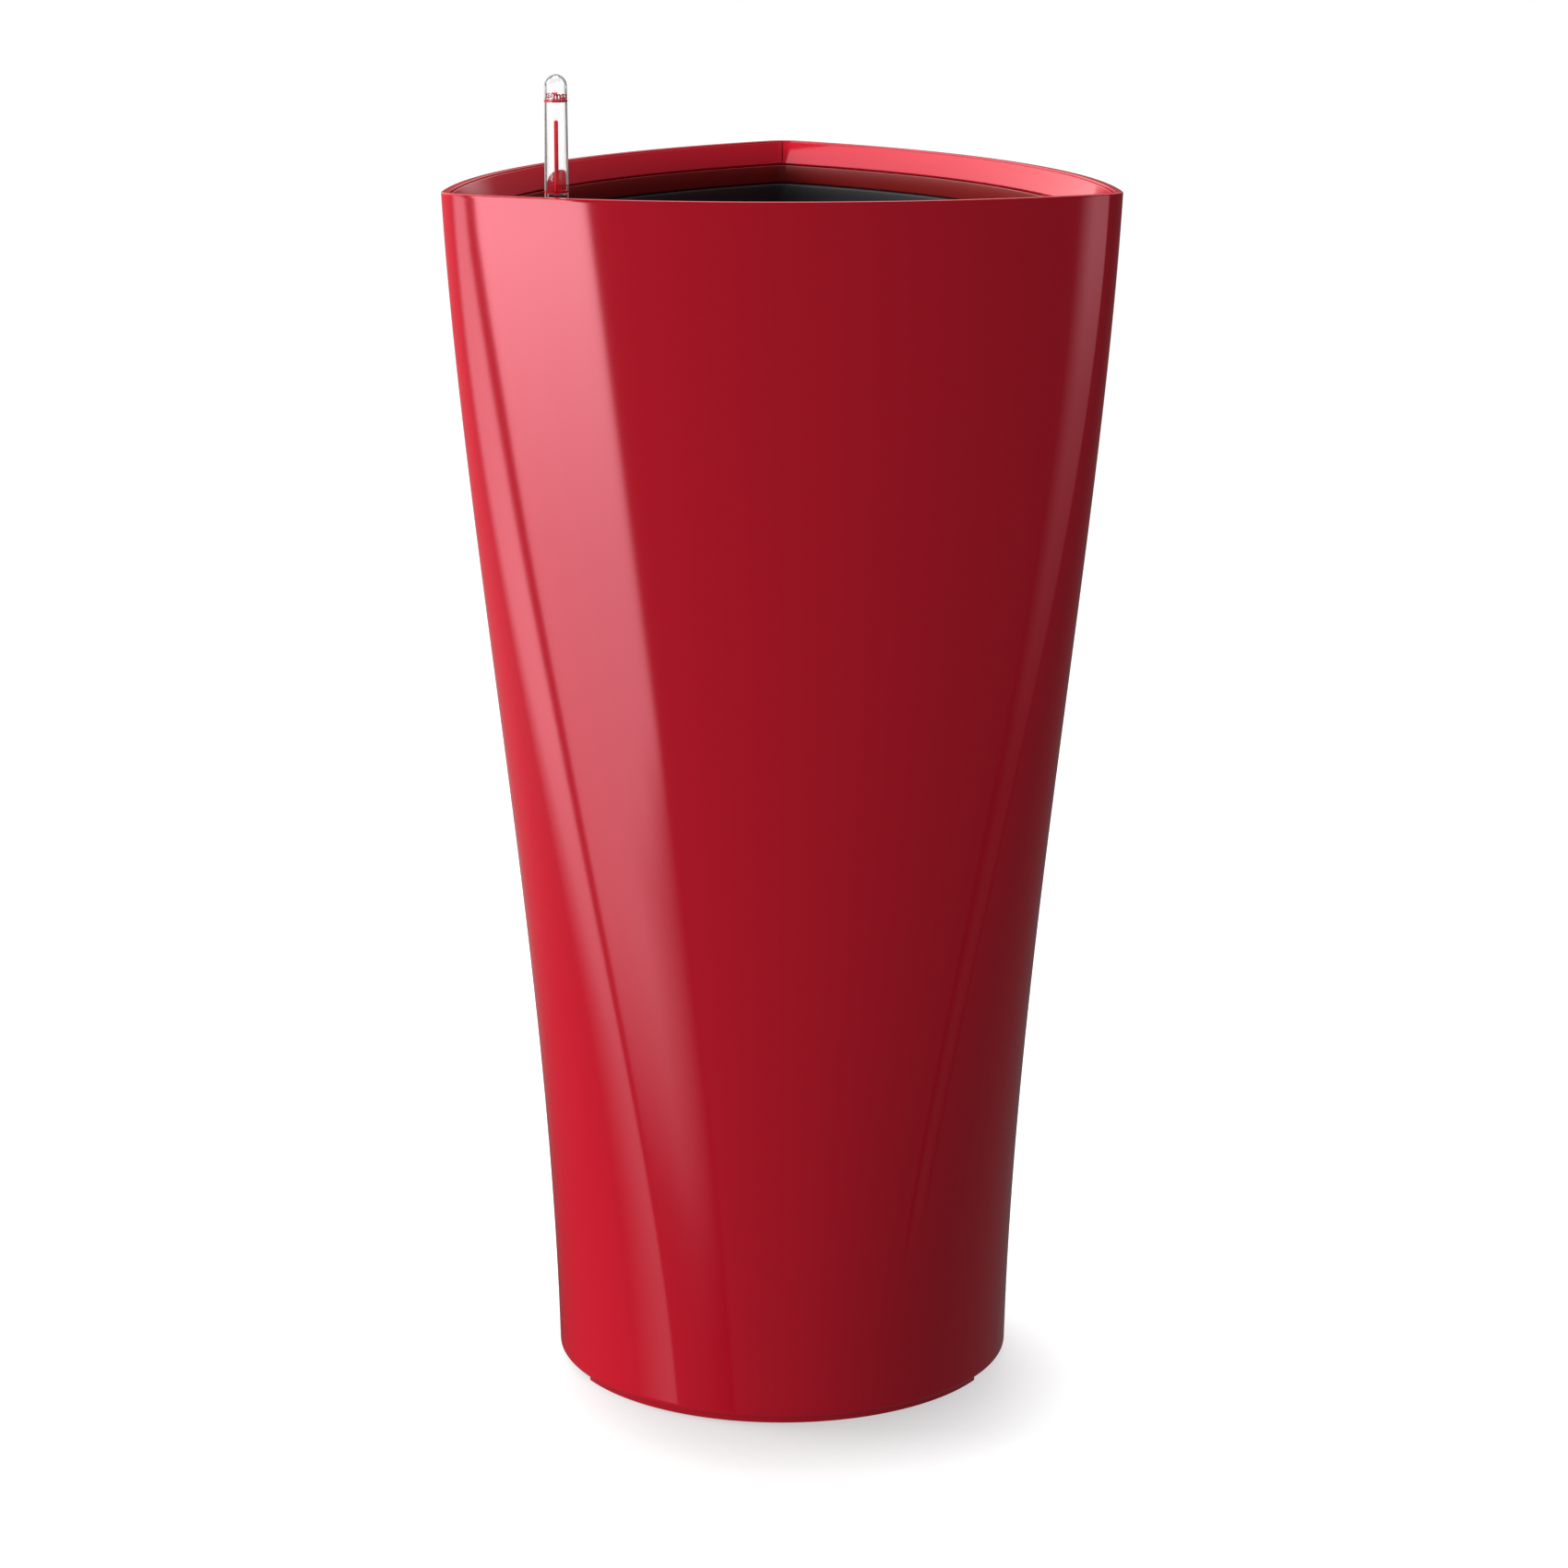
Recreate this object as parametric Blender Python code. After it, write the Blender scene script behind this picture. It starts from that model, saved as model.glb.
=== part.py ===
"""Tall self-watering planter: a glossy tapered shell, round at the foot and
triangular at the rim, with a lift-out liner, two pull-up frame handles, a
water shaft, a float gauge, a raised separator and a drain."""

import bpy
import bmesh
from math import asin, cos, pi, radians, sin
from mathutils import Matrix, Vector

for item in list(bpy.data.objects):
    bpy.data.objects.remove(item, do_unlink=True)

# Overall form, in metres
RIM_HEIGHT = 0.750
RIM_CORNER_REACH = 0.2261
RIM_CORNER_ROUND = 0.0175
RIM_SIDE_ROUND = 0.4163
BASE_RADIUS = 0.1429
WIDTH_CURVE = ((0.388, 0.082), (0.730, 0.832))
CORNER_CURVE = ((0.300, 0.150), (0.620, 0.950))
LEAST_INNER_ROUND = 0.006

# Shell
WALL = 0.0050
RIM_EDGE = 0.0008
FLOOR_BOTTOM = 0.004
FLOOR_TOP = 0.010
FOOT_RADIUS = 0.1398
FOOT_WIDTH = 0.012
FOOT_HALF_SPAN = radians(60.0)
SHELL_DRAIN_RADIUS = 0.010
LEDGE_TOP = 0.7192
LEDGE_DEPTH = 0.004
LEDGE_INSET = 0.0086
LEDGE_FADE = 0.026

# Fits between pieces
SEAT_GAP = 0.0003
SLIDE_GAP = 0.0004
SHELL_GAP = 0.0010

# Liner
FLANGE_THICKNESS = 0.004
LINER_INSET = 0.0142
LINER_WALL = 0.003
LINER_BOTTOM = 0.470
LINER_FLOOR = 0.0034

# Fixed frame on the flange and the two handles above it
FRAME_GAP = 0.0009
FRAME_HEIGHT = 0.0114
FRAME_INSET = 0.0144
FRAME_EDGE = 0.0012
HANDLE_DROP = 0.0008
HANDLE_INSET = 0.0134
HANDLE_EDGE = 0.0010
HANDLE_LIP = 0.0016
HANDLE_SEAM = 0.0006
LEG_INSET = 0.0127
LEG_THICKNESS = 0.0025
LEG_WIDTH = 0.018
LEG_LENGTH = 0.085
LEG_OVERLAP = 0.0012
LEG_ANGLES = (radians(160.0), radians(260.0))
HOOK_WIDTH = 0.025
HOOK_HEIGHT = 0.005

# Water shaft and float gauge
GAUGE_RADIUS = 0.1528
GAUGE_ANGLE = radians(210.0)
SHAFT_RADIUS = 0.018
SHAFT_WALL = 0.002
SHAFT_TOP = 0.722
CAP_RADIUS = 0.020
CAP_LIP = 0.0048
CAP_PLUG = 0.010
RISER_RADIUS = 0.0061
RISER_BORE = 0.0045
RISER_TOP = 0.7458
TUBE_RADIUS = 0.0073
TUBE_TOP_RADIUS = 0.0067
TUBE_WALL = 0.0010
TUBE_TOP = 0.8154
CHAMBER_RADIUS = 0.015
CHAMBER_WALL = 0.0015
CHAMBER_TOP = 0.563
CHAMBER_ROOF = 0.003
COLLAR_WALL = 0.0022
COLLAR_HEIGHT = 0.012
CHAMBER_CAP = 0.0045
FLOAT_RADIUS = 0.0128
FLOAT_HEIGHT = 0.026
FLOAT_BOTTOM = 0.5222
ROD_RADIUS = 0.00125
ROD_TOP = 0.7888

# Separator and drain
PLATE_BOTTOM = 0.548
PLATE_THICKNESS = 0.003
PLATE_GAP = 0.0012
CUP_SPREAD = 0.085
CUP_TOP_RADIUS = 0.0215
CUP_FOOT_RADIUS = 0.017
CUP_WALL = 0.002
CUP_LIP = 0.003
WATER_HOLE_RADIUS = 0.004
DRAIN_BORE = 0.0078
DRAIN_HEAD_RADIUS = 0.017
DRAIN_HEAD = 0.008
SEAL_RADIUS = 0.0125
SEAL_CORD = 0.0015
PIPE_RADIUS = 0.010
PIPE_HEIGHT = 0.060
PIPE_FOOT = 0.002

# Values that follow from the sizes above
COS30 = cos(radians(30.0))
CORE_REACH = RIM_CORNER_REACH - RIM_CORNER_ROUND
SIDE_BOW = (RIM_SIDE_ROUND - RIM_CORNER_ROUND) / CORE_REACH
SIDE_HALF = asin(COS30 / SIDE_BOW)
CORE_CENTRE = SIDE_BOW * cos(SIDE_HALF) - 0.5
CORE_SIDE = SIDE_BOW - CORE_CENTRE
RIM_HALF_WIDTH = COS30 * CORE_REACH + RIM_CORNER_ROUND
RIM_SIDE_REACH = CORE_SIDE * CORE_REACH + RIM_CORNER_ROUND
AXIS = Vector((0.0, (RIM_SIDE_REACH - RIM_CORNER_REACH) / 2.0, 0.0))
GAUGE_AXIS = AXIS + GAUGE_RADIUS * Vector((cos(GAUGE_ANGLE), sin(GAUGE_ANGLE), 0.0))
FLANGE_BOTTOM = LEDGE_TOP + SEAT_GAP
FLANGE_TOP = FLANGE_BOTTOM + FLANGE_THICKNESS
FRAME_BOTTOM = FLANGE_TOP + SEAT_GAP
FRAME_OUTER = WALL + FRAME_GAP
FRAME_TOP = FRAME_BOTTOM + FRAME_HEIGHT
HANDLE_BOTTOM = FRAME_TOP + SEAT_GAP
HANDLE_TOP = RIM_HEIGHT - HANDLE_DROP
LINER_FLOOR_TOP = LINER_BOTTOM + LINER_FLOOR
LINER_SEAT = LINER_FLOOR_TOP + SEAT_GAP
SHAFT_BORE = SHAFT_RADIUS - SHAFT_WALL
CAP_BOTTOM = SHAFT_TOP + SEAT_GAP
CAP_TOP = CAP_BOTTOM + CAP_LIP
CHAMBER_BORE = CHAMBER_RADIUS - CHAMBER_WALL
CHAMBER_BOTTOM = LINER_SEAT + CHAMBER_CAP / 2.0

SIDE_POINTS = 10
CORNER_POINTS = 8


def wall_angles():
    """Outward directions around the outline, one set per side and corner."""
    angles = []
    for third in range(3):
        side = radians(-90.0 + 120.0 * third)
        for i in range(SIDE_POINTS):
            angles.append(side - SIDE_HALF + 2.0 * SIDE_HALF * i / SIDE_POINTS)
        corner = 2.0 * (pi / 3.0 - SIDE_HALF)
        for i in range(CORNER_POINTS):
            angles.append(side + SIDE_HALF + corner * i / CORNER_POINTS)
    return angles


ANGLES = wall_angles()


def ease(share, low, high):
    """Size share reached at a share of the height, along an S-curve."""
    start, end = 0.0, 1.0
    for _ in range(40):
        k = (start + end) / 2.0
        height = 3.0 * (1.0 - k) ** 2 * k * low[0] + 3.0 * (1.0 - k) * k * k * high[0] + k ** 3
        if height < share:
            start = k
        else:
            end = k
    return 3.0 * (1.0 - k) ** 2 * k * low[1] + 3.0 * (1.0 - k) * k * k * high[1] + k ** 3


def core_point(angle):
    """Point of the sharp bowed triangle that faces the given direction."""
    for third in range(3):
        side = radians(-90.0 + 120.0 * third)
        turn = (angle - side + pi) % (2.0 * pi) - pi
        if abs(turn) <= SIDE_HALF + 1e-9:
            return (
                SIDE_BOW * cos(angle) - CORE_CENTRE * cos(side),
                SIDE_BOW * sin(angle) - CORE_CENTRE * sin(side),
            )
    corner = pi / 2.0 + 2.0 * pi / 3.0 * round((angle - pi / 2.0) / (2.0 * pi / 3.0))
    return cos(corner), sin(corner)


def wall_point(angle, level, inset, height=None):
    """Point of the outer wall at a level, moved inwards by an inset."""
    share = min(max(level / RIM_HEIGHT, 0.0), 1.0)
    reach = BASE_RADIUS + (RIM_HALF_WIDTH - BASE_RADIUS) * ease(share, *WIDTH_CURVE)
    core = CORE_REACH * ease(share, *CORNER_CURVE)
    rounding = reach - COS30 * core - inset
    if rounding < LEAST_INNER_ROUND:
        core -= (LEAST_INNER_ROUND - rounding) / CORE_SIDE
        rounding = LEAST_INNER_ROUND
    x, y = core_point(angle)
    z = level if height is None else height
    return Vector((core * x + rounding * cos(angle), core * y + rounding * sin(angle), z))


def wall_ring(level, inset):
    return [wall_point(angle, level, inset) for angle in ANGLES]


def leg_point(facing, height):
    """Middle of a handle leg at a height."""
    return wall_point(facing, HANDLE_BOTTOM, LEG_INSET - LEG_THICKNESS / 2.0, height)


def round_ring(radius, z, sides, centre=(0.0, 0.0)):
    steps = [2.0 * pi * i / sides for i in range(sides)]
    return [Vector((centre[0] + radius * cos(a), centre[1] + radius * sin(a), z)) for a in steps]


def turned(profile, sides, centre=(0.0, 0.0)):
    return [round_ring(radius, z, sides, centre) for radius, z in profile]


def skin(bm, rings, closed=False):
    """Closed surface through a row of rings with the same number of points."""
    loops = [[bm.verts.new(point) for point in ring] for ring in rings]
    pairs = list(zip(loops, loops[1:]))
    faces = []
    if closed:
        pairs.append((loops[-1], loops[0]))
    else:
        faces.append(bm.faces.new(list(reversed(loops[0]))))
        faces.append(bm.faces.new(loops[-1]))
    for low, high in pairs:
        for i in range(len(low)):
            j = (i + 1) % len(low)
            faces.append(bm.faces.new((low[i], low[j], high[j], high[i])))
    bmesh.ops.recalc_face_normals(bm, faces=faces)


def block(bm, centre, size, turn=0.0):
    place = Matrix.Translation(centre) @ Matrix.Rotation(turn, 4, "Z")
    bmesh.ops.create_cube(bm, size=1.0, matrix=place @ Matrix.Diagonal((*size, 1.0)))


def leg_slots(bm, height, depth):
    """Slots that let the four handle legs slide."""
    size = (LEG_THICKNESS + 2.0 * SLIDE_GAP, LEG_WIDTH + 2.0 * SLIDE_GAP, depth)
    for angle in LEG_ANGLES:
        for facing in (angle, pi - angle):
            block(bm, leg_point(facing, height), size, facing)


def finish(bm, name, place):
    mesh = bpy.data.meshes.new(name)
    bm.to_mesh(mesh)
    bm.free()
    item = bpy.data.objects.new(name, mesh)
    item.location = place
    bpy.context.scene.collection.objects.link(item)
    return item


def paint(item, colour, roughness, coat=0.0, clear=0.0):
    material = bpy.data.materials.new(item.name + "_finish")
    material.use_nodes = True
    shader = material.node_tree.nodes["Principled BSDF"]
    shader.inputs["Base Color"].default_value = (*colour, 1.0)
    shader.inputs["Roughness"].default_value = roughness
    shader.inputs["Coat Weight"].default_value = coat
    shader.inputs["Transmission Weight"].default_value = clear
    item.data.materials.append(material)


def piece(name, rings, place, closed=False):
    bm = bmesh.new()
    skin(bm, rings, closed)
    return finish(bm, name, place)


def combine(item, bm, operation):
    """Add or take away a set of simple shapes given in the piece's own frame."""
    tool = finish(bm, item.name + "_" + operation.lower(), item.location)
    tool.hide_render = True
    tool.display_type = "WIRE"
    step = item.modifiers.new(operation.title(), "BOOLEAN")
    step.operation = operation
    step.solver = "EXACT"
    step.object = tool


RED = (0.62, 0.008, 0.020)
CHARCOAL = (0.030, 0.031, 0.034)
BLACK = (0.012, 0.012, 0.013)

# Shell: outside up, over the rim, inside down past the ledge to the floor
rings = [wall_ring(FLOOR_BOTTOM, 0.0016), wall_ring(FLOOR_BOTTOM + 0.0012, 0.0005)]
for level in (0.008, 0.09, 0.18, 0.27, 0.36, 0.44, 0.52, 0.59, 0.65, 0.70, LEDGE_TOP + 0.015):
    rings.append(wall_ring(level, 0.0))
rings.append(wall_ring(RIM_HEIGHT - RIM_EDGE, 0.0))
rings.append(wall_ring(RIM_HEIGHT, RIM_EDGE))
rings.append(wall_ring(RIM_HEIGHT, WALL - RIM_EDGE))
rings.append(wall_ring(RIM_HEIGHT - RIM_EDGE, WALL))
rings.append(wall_ring(LEDGE_TOP, WALL))
rings.append(wall_ring(LEDGE_TOP, LEDGE_INSET))
rings.append(wall_ring(LEDGE_TOP - LEDGE_DEPTH, LEDGE_INSET))
for level in (LEDGE_TOP - LEDGE_FADE, 0.65, 0.59, 0.52, 0.44, 0.36, 0.27, 0.18, 0.09):
    rings.append(wall_ring(level, WALL))
rings.append(wall_ring(FLOOR_TOP + 0.005, WALL))
rings.append(wall_ring(FLOOR_TOP, WALL + 0.005))
shell = piece("outer_shell", rings, AXIS)
bm = bmesh.new()
for middle in (-pi / 2.0, pi / 2.0):
    arcs = []
    for i in range(17):
        a = middle - FOOT_HALF_SPAN + FOOT_HALF_SPAN * i / 8.0
        out = Vector((cos(a), sin(a), 0.0))
        low = Vector((0.0, 0.0, 0.0))
        high = Vector((0.0, 0.0, FLOOR_BOTTOM + 0.0012))
        near = out * (FOOT_RADIUS - FOOT_WIDTH)
        far = out * FOOT_RADIUS
        arcs.append([near + low, far + low, far + high, near + high])
    skin(bm, arcs)
combine(shell, bm, "UNION")
bm = bmesh.new()
skin(bm, turned([(SHELL_DRAIN_RADIUS, 0.0), (SHELL_DRAIN_RADIUS, 0.02)], 20))
combine(shell, bm, "DIFFERENCE")
paint(shell, RED, 0.12, coat=0.6)

# Liner: a deep cup that hangs in the shell by its flange
inner = LINER_INSET + LINER_WALL
levels = (0.52, 0.57, 0.62, 0.67)
rings = [wall_ring(LINER_BOTTOM, LINER_INSET + 0.003), wall_ring(LINER_BOTTOM + 0.004, LINER_INSET)]
rings += [wall_ring(level, LINER_INSET) for level in levels]
rings.append(wall_ring(FLANGE_BOTTOM, LINER_INSET))
rings.append(wall_ring(FLANGE_BOTTOM, WALL + SHELL_GAP))
rings.append(wall_ring(FLANGE_TOP, WALL + SHELL_GAP))
rings.append(wall_ring(FLANGE_TOP, inner))
rings += [wall_ring(level, inner) for level in reversed(levels)]
rings.append(wall_ring(LINER_FLOOR_TOP + 0.003, inner))
rings.append(wall_ring(LINER_FLOOR_TOP, inner + 0.003))
liner = piece("liner", rings, AXIS)
bm = bmesh.new()
leg_slots(bm, FLANGE_TOP, 3.0 * FLANGE_THICKNESS)
skin(bm, turned([(DRAIN_BORE, LINER_BOTTOM - 0.01), (DRAIN_BORE, LINER_FLOOR_TOP + 0.01)], 24))
combine(liner, bm, "DIFFERENCE")
paint(liner, CHARCOAL, 0.55)

# Fixed frame that stands on the flange
FRAME_SECTION = (
    (FRAME_OUTER, FRAME_BOTTOM),
    (FRAME_OUTER, FRAME_TOP),
    (FRAME_INSET - FRAME_EDGE / 2.0, FRAME_TOP),
    (FRAME_INSET, FRAME_TOP - FRAME_EDGE / 2.0),
    (FRAME_INSET, FRAME_BOTTOM + FRAME_EDGE),
    (FRAME_INSET - FRAME_EDGE, FRAME_BOTTOM),
)
rings = [[wall_point(angle, z, inset) for inset, z in FRAME_SECTION] for angle in ANGLES]
frame = piece("liner_frame", rings, AXIS, closed=True)
bm = bmesh.new()
leg_slots(bm, FRAME_BOTTOM + FRAME_HEIGHT / 2.0, 2.0 * FRAME_HEIGHT)
combine(frame, bm, "DIFFERENCE")
paint(frame, RED, 0.3, coat=0.2)

# Handles: half a sloping rail each, on two hooked legs that slide in the frame
HANDLE_SECTION = (
    (FRAME_OUTER, HANDLE_BOTTOM),
    (FRAME_OUTER, HANDLE_TOP - HANDLE_EDGE / 2.0),
    (FRAME_OUTER + HANDLE_EDGE / 2.0, HANDLE_TOP),
    (FRAME_OUTER + HANDLE_EDGE, HANDLE_TOP - HANDLE_EDGE / 4.0),
    (HANDLE_INSET, HANDLE_BOTTOM + HANDLE_LIP),
    (HANDLE_INSET - HANDLE_LIP / 2.0, HANDLE_BOTTOM),
)
for name, hand in (("handle_left", 1.0), ("handle_right", -1.0)):
    sweep = [a for a in ANGLES if pi / 2.0 - 1e-6 < a < 1.5 * pi + 1e-6]
    sweep = sorted(sweep + [a + 2.0 * pi for a in ANGLES if a < -pi / 2.0 + 1e-6])
    rings = []
    for angle in sweep:
        ring = [wall_point(angle, height, inset) for inset, height in HANDLE_SECTION]
        for point in ring:
            point.x = hand * min(point.x, -HANDLE_SEAM / 2.0)
        rings.append(ring)
    handle = piece(name, rings, AXIS)
    legs = bmesh.new()
    for angle in LEG_ANGLES:
        facing = angle if hand > 0.0 else pi - angle
        half = LEG_WIDTH / 2.0
        hook = HOOK_WIDTH / 2.0
        top = HANDLE_BOTTOM + LEG_OVERLAP
        end = HANDLE_BOTTOM - LEG_LENGTH
        shape = [
            (-half, top), (half, top), (half, end + HOOK_HEIGHT), (hook, end + HOOK_HEIGHT),
            (hook, end), (-hook, end), (-hook, end + HOOK_HEIGHT), (-half, end + HOOK_HEIGHT),
        ]
        across = Vector((-sin(facing), cos(facing), 0.0))
        outward = Vector((cos(facing), sin(facing), 0.0))
        faces = []
        for depth in (LEG_THICKNESS / 2.0, -LEG_THICKNESS / 2.0):
            start = leg_point(facing, 0.0) + outward * depth
            faces.append([start + across * side + Vector((0.0, 0.0, z)) for side, z in shape])
        skin(legs, faces)
    combine(handle, legs, "UNION")
    paint(handle, RED, 0.18, coat=0.4)

# Water shaft, open at the foot so that water runs into the reservoir
shaft = piece("water_shaft", turned([
    (SHAFT_RADIUS, LINER_SEAT), (SHAFT_RADIUS, SHAFT_TOP),
    (SHAFT_BORE, SHAFT_TOP), (SHAFT_BORE, LINER_SEAT)], 32), GAUGE_AXIS, closed=True)
bm = bmesh.new()
for i in range(4):
    angle = pi / 4.0 + pi / 2.0 * i
    centre = Vector((SHAFT_RADIUS * cos(angle), SHAFT_RADIUS * sin(angle), LINER_SEAT))
    block(bm, centre, (0.008, 0.008, 0.024), angle)
combine(shaft, bm, "DIFFERENCE")
paint(shaft, CHARCOAL, 0.5)

# Cap that centres the gauge in the shaft, with two filling windows
hole = RISER_RADIUS + SEAT_GAP
plug = SHAFT_BORE - SEAT_GAP
cap = piece("shaft_cap", turned([
    (plug, CAP_BOTTOM - CAP_PLUG), (plug, CAP_BOTTOM), (CAP_RADIUS, CAP_BOTTOM),
    (CAP_RADIUS, CAP_TOP), (hole, CAP_TOP), (hole, CAP_BOTTOM - CAP_PLUG)], 32), GAUGE_AXIS, closed=True)
bm = bmesh.new()
window = (hole + 0.0014 + plug - 0.0014) / 2.0
for side in (-1.0, 1.0):
    centre = Vector((side * window, 0.0, CAP_BOTTOM))
    block(bm, centre, (plug - hole - 0.0028, 0.012, 0.04))
combine(cap, bm, "DIFFERENCE")
paint(cap, BLACK, 0.45)

# Float gauge: clear domed tube over the riser, float chamber, cap, float, rod
inner_foot = RISER_RADIUS + SEAT_GAP
tube_foot = CAP_TOP + SEAT_GAP
dome = TUBE_TOP - TUBE_TOP_RADIUS
hollow = TUBE_TOP_RADIUS - TUBE_WALL
arc = [pi / 2.0 * i / 5.0 for i in range(5)]
profile = [(0.0010, TUBE_TOP - TUBE_WALL)]
profile += [(hollow * cos(a), dome + hollow * sin(a)) for a in reversed(arc)]
profile += [(inner_foot, RISER_TOP), (inner_foot, tube_foot), (TUBE_RADIUS, tube_foot)]
profile += [(TUBE_TOP_RADIUS * cos(a), dome + TUBE_TOP_RADIUS * sin(a)) for a in arc]
profile.append((0.0012, TUBE_TOP))
tube = piece("gauge_tube", turned(profile, 24), GAUGE_AXIS)
paint(tube, (0.95, 0.95, 0.95), 0.05, clear=0.9)

riser = piece("riser_tube", turned([
    (RISER_RADIUS, CHAMBER_TOP + SEAT_GAP), (RISER_RADIUS, RISER_TOP),
    (RISER_BORE, RISER_TOP), (RISER_BORE, CHAMBER_TOP + SEAT_GAP)], 24), GAUGE_AXIS, closed=True)
paint(riser, BLACK, 0.4)

collar = RISER_RADIUS + SEAT_GAP
chamber = piece("float_chamber", turned([
    (CHAMBER_RADIUS, CHAMBER_BOTTOM), (CHAMBER_RADIUS, CHAMBER_TOP - 0.001),
    (CHAMBER_RADIUS - 0.001, CHAMBER_TOP), (collar + COLLAR_WALL, CHAMBER_TOP),
    (collar + COLLAR_WALL, CHAMBER_TOP + COLLAR_HEIGHT), (collar, CHAMBER_TOP + COLLAR_HEIGHT),
    (collar, CHAMBER_TOP), (RISER_BORE, CHAMBER_TOP), (RISER_BORE, CHAMBER_TOP - CHAMBER_ROOF),
    (CHAMBER_BORE, CHAMBER_TOP - CHAMBER_ROOF), (CHAMBER_BORE, CHAMBER_BOTTOM)], 28),
    GAUGE_AXIS, closed=True)
bm = bmesh.new()
for i in range(3):
    angle = pi / 2.0 + 2.0 * pi / 3.0 * i
    centre = Vector((CHAMBER_RADIUS * cos(angle), CHAMBER_RADIUS * sin(angle), CHAMBER_BOTTOM + 0.040))
    block(bm, centre, (0.008, 0.006, 0.050), angle)
combine(chamber, bm, "DIFFERENCE")
paint(chamber, BLACK, 0.45)

seat = CHAMBER_BORE - SEAT_GAP
base = CHAMBER_BOTTOM - SEAT_GAP - 0.0016
strainer = piece("chamber_cap", turned([
    (CHAMBER_RADIUS, base), (CHAMBER_RADIUS, base + 0.0016), (seat, base + 0.0016),
    (seat, base + 0.0056), (seat - 0.002, base + 0.0056), (seat - 0.002, base + 0.0016),
    (0.003, base + 0.0016), (0.003, base)], 28), GAUGE_AXIS, closed=True)
paint(strainer, BLACK, 0.45)

bore = ROD_RADIUS + SEAT_GAP
buoy = piece("float_body", turned([
    (FLOAT_RADIUS - 0.002, FLOAT_BOTTOM), (FLOAT_RADIUS, FLOAT_BOTTOM + 0.002),
    (FLOAT_RADIUS, FLOAT_BOTTOM + FLOAT_HEIGHT - 0.002),
    (FLOAT_RADIUS - 0.002, FLOAT_BOTTOM + FLOAT_HEIGHT),
    (bore, FLOAT_BOTTOM + FLOAT_HEIGHT), (bore, FLOAT_BOTTOM)], 24), GAUGE_AXIS, closed=True)
paint(buoy, (0.75, 0.74, 0.70), 0.6)

rod = piece("float_rod", turned([
    (ROD_RADIUS, FLOAT_BOTTOM + 0.001), (ROD_RADIUS, ROD_TOP - ROD_RADIUS),
    (ROD_RADIUS * 0.8, ROD_TOP - ROD_RADIUS * 0.4), (ROD_RADIUS * 0.3, ROD_TOP)], 12), GAUGE_AXIS)
paint(rod, RED, 0.3)

# Separator: perforated plate on the shoulders of three wicking cups
PLATE_TOP = PLATE_BOTTOM + PLATE_THICKNESS
edge = inner + PLATE_GAP
plate = piece("separator_plate", [
    [Vector((p.x, p.y, PLATE_BOTTOM)) for p in wall_ring(PLATE_BOTTOM, edge)],
    [Vector((p.x, p.y, PLATE_TOP)) for p in wall_ring(PLATE_BOTTOM, edge)]], AXIS)
CUPS = []
for i in range(3):
    angle = pi / 2.0 + 2.0 * pi / 3.0 * i
    CUPS.append((CUP_SPREAD * cos(angle), CUP_SPREAD * sin(angle)))
holes = [(0.0, 0.0, WATER_HOLE_RADIUS, 10)]
for i in range(6):
    angle = radians(30.0 + 60.0 * i)
    holes.append((0.048 * cos(angle), 0.048 * sin(angle), WATER_HOLE_RADIUS, 10))
for side in (30.0, 150.0, 270.0):
    for turn in (-13.0, 13.0):
        angle = radians(side + turn)
        holes.append((0.112 * cos(angle), 0.112 * sin(angle), WATER_HOLE_RADIUS, 10))
for x, y in CUPS:
    holes.append((x, y, CUP_TOP_RADIUS + SEAT_GAP, 24))
local = GAUGE_AXIS - AXIS
holes.append((local.x, local.y, SHAFT_RADIUS + SLIDE_GAP, 32))
bm = bmesh.new()
for x, y, radius, sides in holes:
    skin(bm, turned([(radius, PLATE_BOTTOM - 0.005), (radius, PLATE_TOP + 0.005)], sides, (x, y)))
combine(plate, bm, "DIFFERENCE")
paint(plate, CHARCOAL, 0.5)

shoulder = PLATE_BOTTOM - SEAT_GAP
for number, (x, y) in enumerate(CUPS, 1):
    cup = piece("wick_cup_%d" % number, turned([
        (CUP_FOOT_RADIUS, LINER_SEAT), (CUP_TOP_RADIUS - 0.001, shoulder - CUP_LIP),
        (CUP_TOP_RADIUS + 0.0035, shoulder - CUP_LIP), (CUP_TOP_RADIUS + 0.0035, shoulder),
        (CUP_TOP_RADIUS, shoulder), (CUP_TOP_RADIUS, PLATE_TOP + 0.0005),
        (CUP_TOP_RADIUS - CUP_WALL, PLATE_TOP + 0.0005),
        (CUP_FOOT_RADIUS - CUP_WALL, LINER_SEAT + CUP_WALL)], 24), AXIS + Vector((x, y, 0.0)))
    bm = bmesh.new()
    for i in range(4):
        angle = pi / 4.0 + pi / 2.0 * i
        centre = Vector((CUP_FOOT_RADIUS * cos(angle), CUP_FOOT_RADIUS * sin(angle), LINER_SEAT + 0.022))
        block(bm, centre, (0.010, 0.004, 0.030), angle)
    combine(cup, bm, "DIFFERENCE")
    paint(cup, CHARCOAL, 0.5)

# Drain: overflow pipe on the liner floor, turning screw and seal below it
pipe_bore = DRAIN_BORE
pipe = piece("overflow_pipe", turned([
    (PIPE_RADIUS + 0.004, LINER_SEAT), (PIPE_RADIUS + 0.004, LINER_SEAT + PIPE_FOOT),
    (PIPE_RADIUS, LINER_SEAT + PIPE_FOOT), (PIPE_RADIUS, LINER_SEAT + PIPE_HEIGHT),
    (pipe_bore, LINER_SEAT + PIPE_HEIGHT), (pipe_bore, LINER_SEAT)], 24), AXIS, closed=True)
paint(pipe, CHARCOAL, 0.5)

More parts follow.
